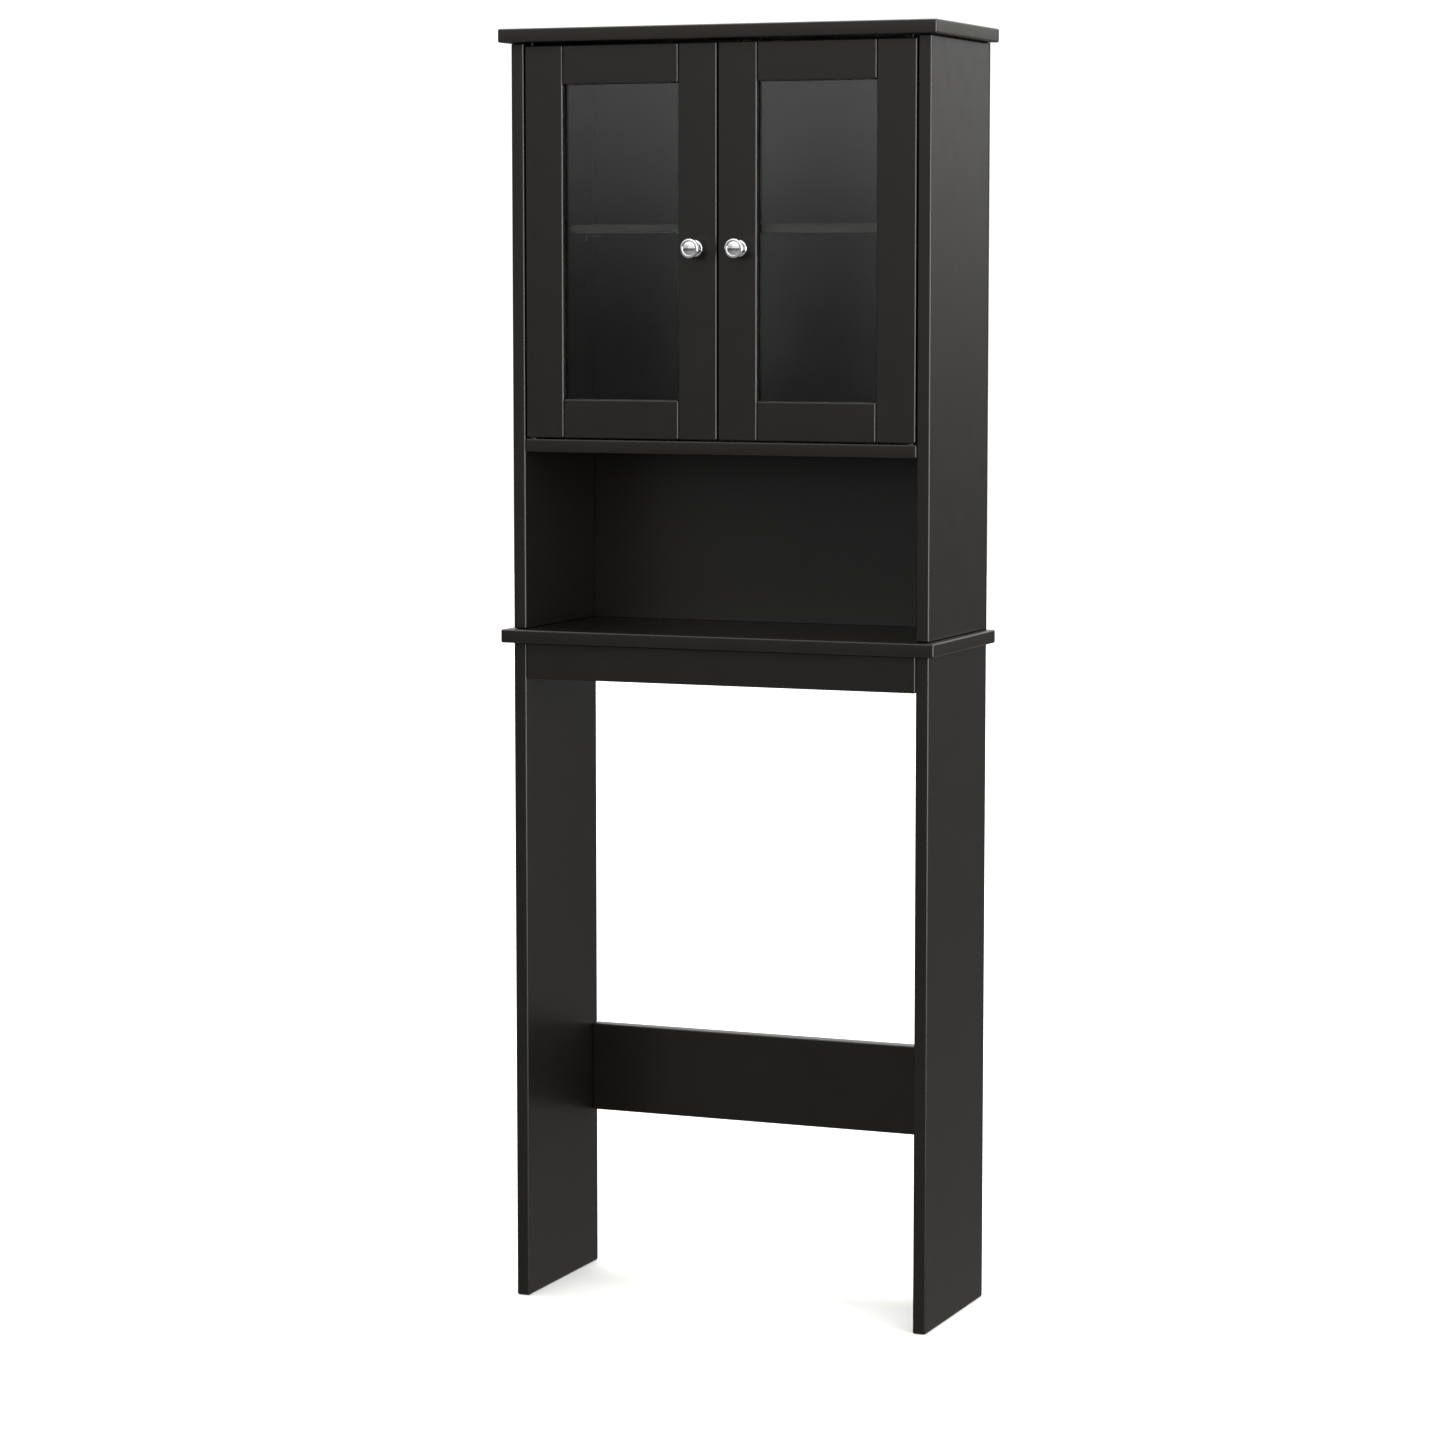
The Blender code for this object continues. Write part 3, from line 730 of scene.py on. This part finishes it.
class RACK_OT_back_panel(bpy.types.Operator):
    """Gives the back panel its black face, bare back and the nails that hold it"""

    bl_idname = "rack.back_panel"
    bl_label = "Back panel and nails"

    def execute(self, context):
        panel = eased_copy("back_panel", "back_panel_faced", sizes().panel_ease, steps=2)
        self.close_gap(panel)
        add_piece(panel, "root", "back_panel_lacquer", finish(black_faced_hardboard), "back_panel")
        panel.data.materials.append(finish(raw_hardboard))
        for face in panel.data.polygons:
            face.material_index = int(face.normal.y > 0.9)
        self.nail()
        return {"FINISHED"}

    def close_gap(self, panel):
        """Lowers the panel's foot almost to the middle board, so that no daylight shows between them."""
        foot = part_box("back_panel")[0].z
        drop = (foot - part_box("mid_board")[1].z) * 0.9
        rounding = sizes().panel_ease * 1.5
        for vertex in panel.data.vertices:
            if vertex.co.z < foot + rounding:
                vertex.co.z -= drop

    def nail(self):
        """Round-headed pins into the rear edges of the sides and of the cabinet floor."""
        low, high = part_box("back_panel")
        side_low, side_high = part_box("upper_side_right")
        floor_low, floor_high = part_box("cabinet_floor")
        edge = (side_low.x + side_high.x) / 2
        level = (floor_low.z + floor_high.z) / 2
        inset = sizes().nail_spacing / 3
        wall = (0, 1, 0)
        paths = [((x, high.y, low.z + inset), (x, high.y, high.z - inset), wall) for x in (-edge, edge)]
        paths.append(((-edge + inset * 2, high.y, level), (edge - inset * 2, high.y, level), wall))
        radius, height = sizes().nail_radius, sizes().nail_height
        profile = [(0, height), (radius * 0.6, height), (radius, height * 0.5)]
        profile += [(radius, -height), (0, -height)]
        head = turned("nail_head", profile, (0, 0, 0), UP, segments=16)
        steel = finish(bright_drawn_steel)
        heads_along("back_panel_nails", paths, head, steel, "bright_steel", sizes().nail_spacing)


class RACK_OT_doors(bpy.types.Operator):
    """Eases and lacquers the door frames, and sets their panes"""

    bl_idname = "rack.doors"
    bl_label = "Doors"

    def execute(self, context):
        for side, _ in SIDES:
            body = f"{side}_door"
            for piece in DOOR_FRAME:
                lacquer(f"{body}_{piece}", body, sizes().door_ease)
            node = f"{body}_glass"
            pane = eased_copy(node, f"{node}_pane", sizes().glass_arris, steps=2)
            add_piece(pane, body, "clear_glass", finish(clear_float_glass), node)
        return {"FINISHED"}


class RACK_OT_knobs(bpy.types.Operator):
    """Turns the chromed knobs and the screws that hold them"""

    bl_idname = "rack.knobs"
    bl_label = "Knobs"

    def execute(self, context):
        for side, _ in SIDES:
            body = f"{side}_door"
            self.knob(body)
            self.screw(body)
        return {"FINISHED"}

    def knob(self, body):
        """A domed head with a groove and a rounded ring round it, a waisted neck and a flared base."""
        low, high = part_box(f"{body}_knob")
        reach = high.y - low.y
        head = (high.x - low.x) / 2
        curve = head * 1.62
        ring, groove, flare, lip = head * 0.2, head * 0.04, head * 0.3, head * 0.12
        neck, seat, bore, bore_end = head * 0.4, head * 0.87, head * 0.17, reach * 0.41
        profile = [(0, reach)]
        profile += arc((0, reach - curve), curve, 88, 64.5, 12)
        profile += arc((head * 0.725, reach - head * 0.155), groove, 200, 340, 4)
        profile += arc((head - ring, reach - ring * 1.42), ring, 105, -75, 14)
        profile += arc((neck + flare, reach - head * 0.84), flare, 100, 180, 8)
        profile += arc((neck + flare, head * 0.6), flare, 180, 262, 8)
        profile += arc((seat - lip, head * 0.16), lip, 80, 0, 5)
        profile += [(seat, 0), (bore, 0), (bore, bore_end), (0, bore_end)]
        place = Vector(((low.x + high.x) / 2, high.y, (low.z + high.z) / 2))
        knob = turned(f"{body}_knob_turned", profile, place, (0, -1, 0), segments=96)
        add_piece(knob, body, "polished_chrome", finish(polished_chrome), f"{body}_knob")

    def screw(self, body):
        """A pan-head machine screw, its head on the back of the door."""
        node = f"{body}_knob_screw"
        low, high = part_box(node)
        head = (high.x - low.x) / 2
        thickness, profile = pan_crown(head)
        length = high.y - low.y - thickness
        shank = head * 0.45
        root, tip = shank * 0.84, shank * 0.6
        profile += [(head, 0), (shank, 0)]
        pitch = sizes().thread_pitch
        turns = int(length * 0.55 / pitch)
        base = -length + pitch
        ridges = [(shank if i % 2 else root, base + pitch * i / 2) for i in range(turns * 2, -1, -1)]
        profile += [(shank, ridges[0][1] + pitch)] + ridges + [(tip, -length), (0, -length)]
        place = Vector(((low.x + high.x) / 2, high.y - thickness, (low.z + high.z) / 2))
        screw = turned(f"{node}_turned", profile, place, (0, 1, 0), segments=48)
        cut_pan_recess(screw, head, place, (0, 1, 0))
        add_piece(screw, body, "zinc_plate", finish(zinc_plated_steel), node)


class RACK_OT_pivots(bpy.types.Operator):
    """Turns the door pins and the bushings that they stand in"""

    bl_idname = "rack.pivots"
    bl_label = "Door pivots"

    def execute(self, context):
        for side, _ in SIDES:
            for end in ("lower", "upper"):
                self.pin(side, end)
                self.bushing(side, end)
        return {"FINISHED"}

    def pin(self, side, end):
        """A dowel pin with rounded ends."""
        node = f"{side}_door_pin_{end}"
        foot, radius, length = upright(node)
        nose = radius * 0.4
        profile = [(0, length)] + arc((radius - nose, length - nose), nose, 90, 0, 4)
        profile += arc((radius - nose, nose), nose, 0, -90, 4) + [(0, 0)]
        pin = turned(f"{node}_turned", profile, foot, UP, segments=32)
        add_piece(pin, f"{side}_door", "blackened_steel", finish(blackened_steel), node)

    def bushing(self, side, end):
        """A thin sleeve with an eased mouth; the lower one has the flange that the door turns on."""
        node = f"{side}_bushing_{end}"
        foot, outside, length = upright(node)
        _, barrel, _ = upright(f"{side}_bushing_upper")
        _, pin, _ = upright(f"{side}_door_pin_{end}")
        ease = sizes().metal_ease
        bore = pin + sizes().pin_gap
        profile = arc((bore + ease, length - ease), ease, 180, 90, 3)
        if outside > barrel:
            under = length - (outside - barrel) * 0.85
            profile += arc((outside - ease, length - ease), ease, 90, 0, 3)
            profile += [(outside, under), (barrel, under)]
        else:
            profile += [(barrel, length)]
        profile += [(barrel, 0), (bore, 0), profile[0]]
        if end == "upper":
            foot += UP * length
        way = UP if end == "lower" else -UP
        sleeve = turned(f"{node}_moulded", profile, foot, way, segments=40)
        add_piece(sleeve, "root", "black_nylon", finish(moulded_black_nylon), node)


class RACK_OT_pegs(bpy.types.Operator):
    """Rounds the four steel pegs under the inner shelf"""

    bl_idname = "rack.pegs"
    bl_label = "Shelf pegs"

    def execute(self, context):
        for side, _ in SIDES:
            for spot in ("front", "rear"):
                node = f"shelf_peg_{side}_{spot}"
                peg = eased_copy(node, f"{node}_stamped", sizes().metal_ease, steps=2, every_edge=True)
                add_piece(peg, "root", "bright_steel", finish(bright_drawn_steel), node)
        return {"FINISHED"}


class RACK_OT_catch(bpy.types.Operator):
    """Shapes the magnetic catch with its pole plates, and the strikes that it holds"""

    bl_idname = "rack.catch"
    bl_label = "Magnetic catch"

    def execute(self, context):
        case = eased_copy("magnetic_catch", "magnetic_catch_moulded", sizes().metal_ease * 3, every_edge=True)
        low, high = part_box("magnetic_catch")
        for side, _ in SIDES:
            strike_low, strike_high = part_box(f"{side}_door_strike")
            middle = Vector(((strike_low.x + strike_high.x) / 2, low.y, (low.z + strike_high.z) / 2))
            self.poles(case, side, middle, (strike_high.z - low.z) * 0.8)
            self.strike(side, middle.x, strike_high.y, (strike_low.z + low.z) / 2)
        add_piece(case, "root", "black_nylon", finish(moulded_black_nylon), "magnetic_catch")
        quarter = (high.y - low.y) / 4
        front, rear = (0, low.y + quarter, low.z), (0, high.y - quarter, low.z)
        head = pan_head("catch_screw", sizes().screw_head)
        zinc = finish(zinc_plated_steel)
        heads_along("catch_screws", [(front, rear, -UP)], head, zinc, "zinc_plate", seed=3)
        return {"FINISHED"}

    def poles(self, case, side, middle, height):
        """Two steel plates in a mouth in the front of the case, just behind its face."""
        plate = sizes().pole_plate
        mouth = block("mouth_cutter", middle, (plate * 7, plate * 2.5, height))
        cut(case, mouth)
        for spot, offset in (("near", -2), ("far", 2)):
            at = middle + Vector((offset * plate, plate * 3, 0))
            pole = block(f"magnetic_catch_{side}_pole_{spot}", at, (plate, plate * 5, height * 0.9))
            ease = pole.modifiers.new("Ease", "BEVEL")
            ease.width = sizes().metal_ease / 2
            ease.segments = 3
            add_piece(baked(pole), "root", "bright_steel", finish(bright_drawn_steel))

    def strike(self, side, x, face, level):
        """The steel plate on the back of a door and the screw that holds it."""
        body, node = f"{side}_door", f"{side}_door_strike"
        plate = eased_copy(node, f"{node}_stamped", sizes().metal_ease, steps=3, every_edge=True)
        add_piece(plate, body, "bright_steel", finish(bright_drawn_steel), node)
        screw = pan_head(f"{node}_screw", sizes().screw_head, (x, face, level), (0, 1, 0))
        add_piece(screw, body, "zinc_plate", finish(zinc_plated_steel))


class RACK_OT_brackets(bpy.types.Operator):
    """Rounds the wall brackets, and sets the screws that hold them to the top board"""

    bl_idname = "rack.brackets"
    bl_label = "Wall brackets"

    def execute(self, context):
        ends = []
        for side, _ in SIDES:
            node = f"wall_bracket_{side}"
            bracket = eased_copy(node, f"{node}_pressed", sizes().metal_ease, steps=2, every_edge=True)
            add_piece(bracket, "root", "zinc_plate", finish(zinc_plated_steel), node)
            low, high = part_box(node)
            under = high.z - sizes().bracket_steel
            ends.append(Vector(((low.x + high.x) / 2, (low.y + high.y) / 2, under)))
        head = pan_head("bracket_screw", sizes().screw_head * 1.4)
        zinc = finish(zinc_plated_steel)
        heads_along("bracket_screws", [(*ends, -UP)], head, zinc, "zinc_plate", seed=5)
        return {"FINISHED"}


class RACK_OT_cams(bpy.types.Operator):
    """Turns the cams, finishes their bolts, and covers the cams in the upper sides"""

    bl_idname = "rack.cams"
    bl_label = "Cams and covers"

    def execute(self, context):
        for name in list(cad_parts):
            if name.startswith("cam_bolt_"):
                finish_node(name, finish(zinc_plated_steel))
            elif name.startswith("cam_"):
                self.cam(name)
        self.cover()
        return {"FINISHED"}

    def cam(self, node):
        """A die-cast disc with a thin rim round a sunk face that has a cross slot."""
        low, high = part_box(node)
        facing = Vector((0, 0, -1)) if "floor" in node else Vector((0, 1, 0))
        radius = (high.x - low.x) / 2
        length = abs(facing.dot(high - low))
        middle = (low + high) / 2
        base, face = middle - facing * length / 2, middle + facing * length / 2
        ease = sizes().metal_ease
        sunk = length - ease * 1.5
        profile = [(0, sunk), (radius * 0.84, sunk), (radius * 0.88, length)]
        profile += arc((radius - ease, length - ease), ease, 90, 0, 3) + [(radius, 0), (0, 0)]
        cam = turned(f"{node}_cast", profile, base, facing)
        cut_cross(cam, face, facing, radius * 0.62, radius * 0.1, radius * 0.2)
        add_piece(cam, "root", "zinc_plate", finish(zinc_plated_steel), node)

    def cover(self):
        """Push-in covers, each with a raised pip, over the cams that hold the sides to the top board."""
        paths = []
        for side, hand in SIDES:
            low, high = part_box(f"upper_side_{side}")
            x = high.x if hand < 0 else low.x
            front, rear = low.y + sizes().cam_inset, high.y - sizes().cam_inset
            z = high.z - sizes().cam_from_end
            paths.append(((x, front, z), (x, rear, z), (-hand, 0, 0)))
        radius, height = sizes().cover_radius, sizes().cover_height
        brim, plug = height * 0.8, radius * 0.85
        profile = [(0, height), (radius * 0.2, height), (radius * 0.25, brim)]
        profile += [(plug, brim)] + arc((radius * 0.9, 0), brim, 80, 0, 3)
        profile += [(plug, -height), (0, -height)]
        head = turned("cam_cover", profile, (0, 0, 0), UP, segments=40)
        heads_along("cam_covers", paths, head, finish(moulded_black_nylon), "black_nylon")


# ---- Studio ---------------------------------------------------------------------------------------
class RACK_OT_stage(bpy.types.Operator):
    """Sets the floor, the lights and the camera"""

    bl_idname = "rack.stage"
    bl_label = "Studio and camera"

    def execute(self, context):
        self.floor()
        self.world(context.scene)
        self.lights()
        self.camera(context.scene)
        context.scene.view_settings.view_transform = "Standard"
        return {"FINISHED"}

    def floor(self):
        form = bmesh.new()
        bmesh.ops.create_circle(form, cap_ends=True, segments=96, radius=studio().floor_radius)
        floor = mesh_object("studio_floor", form)
        floor.data.materials.append(finish(painted_studio_floor))
        floor.visible_glossy = False
        floor.visible_diffuse = False

    def world(self, scene):
        """White to the camera, also through glass, and a room to every other ray.

        The room has pale walls, brighter to the right, over a dim lower part, with a lit floor below
        and a bright ceiling above.
        """
        world = scene.world or bpy.data.worlds.new("studio")
        scene.world = world
        world.use_nodes = True
        tree = world.node_tree
        tree.nodes.clear()
        way = add_node(tree, "ShaderNodeTexCoord").outputs["Generated"]
        parts = add_node(tree, "ShaderNodeSeparateXYZ", inputs={"Vector": way}).outputs
        # Each step runs between two places on a ray's direction, and between two levels of light.
        steps = (
            ("MULTIPLY", "X", -0.50, -0.32, studio().wall_left, 1.0),
            ("MULTIPLY", "Z", -0.02, 0.07, studio().wall_low, studio().wall_high),
            ("ADD", "Z", -0.12, -0.40, 0.0, studio().floor_glow),
            ("ADD", "Z", 0.25, 0.55, 0.0, studio().ceiling_glow),
        )
        level = 1.0
        for operation, axis, start, end, low, high in steps:
            step = add_node(
                tree,
                "ShaderNodeMapRange",
                {"interpolation_type": "SMOOTHSTEP"},
                {"Value": parts[axis], "From Min": start, "From Max": end, "To Min": low, "To Max": high},
            )
            both = {0: level, 1: step.outputs["Result"]}
            level = add_node(tree, "ShaderNodeMath", {"operation": operation}, both).outputs["Value"]
        room = add_node(tree, "ShaderNodeBackground", inputs={"Strength": level})
        white = add_node(tree, "ShaderNodeBackground", inputs={"Strength": studio().backdrop})
        for shade in (room, white):
            shade.inputs["Color"].default_value = (1.0, 1.0, 0.99, 1.0)
        ray = add_node(tree, "ShaderNodeLightPath").outputs
        bounces = add_node(
            tree, "ShaderNodeMath", {"operation": "ADD"}, {0: ray["Diffuse Depth"], 1: ray["Glossy Depth"]}
        ).outputs["Value"]
        unbounced = add_node(tree, "ShaderNodeMath", {"operation": "LESS_THAN"}, {0: bounces, 1: 0.5})
        mix = add_node(
            tree,
            "ShaderNodeMixShader",
            inputs={
                0: unbounced.outputs["Value"],
                1: room.outputs["Background"],
                2: white.outputs["Background"],
            },
        )
        add_node(tree, "ShaderNodeOutputWorld", inputs={"Surface": mix.outputs["Shader"]})

    def lights(self):
        """A soft box on the right, for the eased edges, and an even light from above, for the floor."""
        edge = bpy.data.lights.new("edge_light", "AREA")
        edge.shape = "RECTANGLE"
        edge.size = 3.0
        edge.size_y = 3.0
        edge.energy = studio().edge_power
        place, aim = Vector((4.2, -1.9, 1.3)), Vector((0, 0, 1.1))
        soft_box = new_object("edge_light", edge)
        soft_box.location = place
        soft_box.rotation_euler = (aim - place).to_track_quat("-Z", "Y").to_euler()
        sky = bpy.data.lights.new("sky_light", "SUN")
        sky.energy = studio().sky_strength
        sky.angle = studio().sky_spread
        lean = (math.radians(-12), math.radians(-8), 0)
        new_object("sky_light", sky).rotation_euler = lean

    def camera(self, scene):
        camera = bpy.data.cameras.new("camera")
        camera.lens = studio().lens
        obj = new_object("camera", camera)
        obj.location = studio().camera_place
        obj.rotation_euler = (math.pi / 2 - studio().camera_tilt, 0, studio().camera_turn)
        scene.camera = obj


def painted_studio_floor(tree, shader, place):
    """A matt white painted studio floor: an even pale surface with a very soft mottle."""
    mottle = add_node(tree, "ShaderNodeTexNoise", inputs={"Vector": place, "Scale": 1 / 0.4})
    tone = add_node(
        tree,
        "ShaderNodeMix",
        {"data_type": "RGBA"},
        {
            MIX_BY: mottle.outputs["Fac"],
            MIX_FROM: rgba(studio().floor),
            MIX_TO: rgba(studio().floor_light),
        },
    )
    tree.links.new(tone.outputs[MIXED], shader.inputs["Base Color"])
    shader.inputs["Roughness"].default_value = 0.9


# ---- Values that a user may change --------------------------------------------------------------
def metres(name, description, default):
    return bpy.props.FloatProperty(
        name=name, description=description, default=default, unit="LENGTH", precision=4
    )


def tint(name, description, default):
    return bpy.props.FloatVectorProperty(
        name=name, description=description, default=linear(default), size=3, subtype="COLOR", min=0, max=1
    )


def watts(name, description, default):
    return bpy.props.FloatProperty(name=name, description=description, default=default, unit="POWER")


def share(name, description, default):
    return bpy.props.FloatProperty(name=name, description=description, default=default, subtype="FACTOR")


class RackSizes(bpy.types.PropertyGroup):
    board_ease: metres("Board edge", "Radius on the edges of the carcass boards", 0.0020)
    shelf_ease: metres("Shelf edge", "Radius on the edges of the inner shelf", 0.0012)
    door_ease: metres("Door edge", "Radius on the edges of the door stiles and rails", 0.0020)
    panel_ease: metres("Back panel edge", "Radius on the edges of the back panel", 0.0004)
    glass_arris: metres("Glass edge", "Width of the ground edge of a pane", 0.0004)
    metal_ease: metres("Metal edge", "Radius on the edges of pressed metal", 0.0003)
    pin_gap: metres("Pin clearance", "Gap between a door pin and its bushing", 0.0003)
    pole_plate: metres("Pole plate", "Thickness of the steel plates in the catch", 0.0012)
    bracket_steel: metres("Bracket steel", "Thickness of the wall brackets", 0.0015)
    screw_head: metres("Screw head", "Radius of the small screws' heads", 0.0022)
    thread_pitch: metres("Thread", "Pitch of a knob screw's thread", 0.0007)
    nail_radius: metres("Nail head", "Radius of a nail's head", 0.0017)
    nail_height: metres("Nail height", "How far a nail's head stands out", 0.0006)
    nail_spacing: metres("Nail spacing", "Distance between nails", 0.085)
    cover_radius: metres("Cam cover", "Radius of a cam's cover", 0.0085)
    cover_height: metres("Cam cover height", "How far a cover stands out", 0.0007)
    cam_inset: metres("Cam inset", "Cams from the front and rear edges of a board", 0.045)
    cam_from_end: metres("Cam from end", "Cams from the end of a board", 0.024)


class RackFinishes(bpy.types.PropertyGroup):
    lacquer: tint("Lacquer", "Darker tone of the black lacquer", "100D0B")
    lacquer_light: tint("Lacquer, light", "Lighter tone of the black lacquer", "16120F")
    # Paler lacquer on the eased edges: a painted highlight, partly also wear.
    lacquer_edge_highlight_and_wear: tint("Lacquer edge", "Lacquer where an edge is rubbed", "1E1B19")
    hardboard_dark: tint("Hardboard, dark", "Darker fibre of the bare hardboard", "3B2A1E")
    hardboard_light: tint("Hardboard, light", "Lighter fibre of the bare hardboard", "6A4F39")
    glass: tint("Glass", "Tint of the panes", "F2F7F4")
    chrome: tint("Chrome", "Colour of the chrome plate", "D8DADD")
    steel: tint("Steel", "Colour of the bright steel", "C2C3C5")
    zinc: tint("Zinc", "Colour of the zinc plate", "BFC2C6")
    zinc_dark: tint("Zinc, dark", "Darker patches of the zinc plate", "94979C")
    blacked: tint("Blackened steel", "Darker tone of the blackened steel", "141517")
    blacked_light: tint("Blackened steel, light", "Lighter tone of the blackened steel", "1D1E20")
    nylon: tint("Nylon", "Colour of the black nylon", "161617")


class RackStudio(bpy.types.PropertyGroup):
    floor: tint("Floor", "Colour of the floor", "E6E6E4")
    floor_light: tint("Floor, light", "Lighter tone of the floor", "EAEAE8")
    floor_radius: metres("Floor radius", "Radius of the floor", 14.0)
    backdrop: share("Backdrop", "Brightness behind the rack, which stays white through a pane", 1.15)
    wall_high: share("Room, above", "Brightness of the room above the horizon, in reflections", 1.0)
    wall_low: share("Room, below", "Brightness of the room below the horizon, in reflections", 0.13)
    wall_left: share("Room, left", "How bright the left of the room is next to its right", 0.60)
    floor_glow: share("Floor, reflected", "What a lit floor adds, in reflections", 0.22)
    ceiling_glow: share("Ceiling, reflected", "What a bright ceiling adds, in reflections", 0.80)
    edge_power: watts("Edge light", "Soft box on the right, for the eased edges", 200.0)
    sky_strength: share("Sky light", "Even light from above, for the floor", 2.2)
    sky_spread: bpy.props.FloatProperty(
        name="Sky spread", description="How wide the light from above is", default=0.5, subtype="ANGLE"
    )
    lens: bpy.props.FloatProperty(
        name="Lens", description="Focal length of the camera", default=105.3, unit="CAMERA"
    )
    camera_place: bpy.props.FloatVectorProperty(
        name="Camera",
        description="Where the camera stands",
        default=(2.1005, -5.2138, 1.3784),
        subtype="TRANSLATION",
    )
    camera_turn: bpy.props.FloatProperty(
        name="Camera turn", description="Turn from the rack's front", default=0.38902, subtype="ANGLE"
    )
    camera_tilt: bpy.props.FloatProperty(
        name="Camera tilt", description="How far the camera looks down", default=0.10553, subtype="ANGLE"
    )


STEPS = (
    RACK_OT_carcass,
    RACK_OT_back_panel,
    RACK_OT_doors,
    RACK_OT_knobs,
    RACK_OT_pivots,
    RACK_OT_pegs,
    RACK_OT_catch,
    RACK_OT_brackets,
    RACK_OT_cams,
    RACK_OT_stage,
)
GROUPS = {"rack_sizes": RackSizes, "rack_finishes": RackFinishes, "rack_studio": RackStudio}


class RACK_PT_looks(bpy.types.Panel):
    bl_label = "Rack looks"
    bl_idname = "RACK_PT_looks"
    bl_space_type = "VIEW_3D"
    bl_region_type = "UI"
    bl_category = "Rack"

    def draw(self, context):
        for step in STEPS:
            self.layout.operator(step.bl_idname)
        for name in GROUPS:
            group = getattr(context.scene, name)
            box = self.layout.box()
            for value in group.__annotations__:
                box.prop(group, value)


def register():
    for item in (*GROUPS.values(), *STEPS, RACK_PT_looks):
        bpy.utils.register_class(item)
    for name, group in GROUPS.items():
        setattr(bpy.types.Scene, name, bpy.props.PointerProperty(type=group))


def unregister():
    for name in GROUPS:
        delattr(bpy.types.Scene, name)
    for item in reversed((*GROUPS.values(), *STEPS, RACK_PT_looks)):
        bpy.utils.unregister_class(item)


def main():
    register()
    for step in STEPS:
        group, name = step.bl_idname.split(".")
        getattr(getattr(bpy.ops, group), name)()


if __name__ == "__main__":
    main()
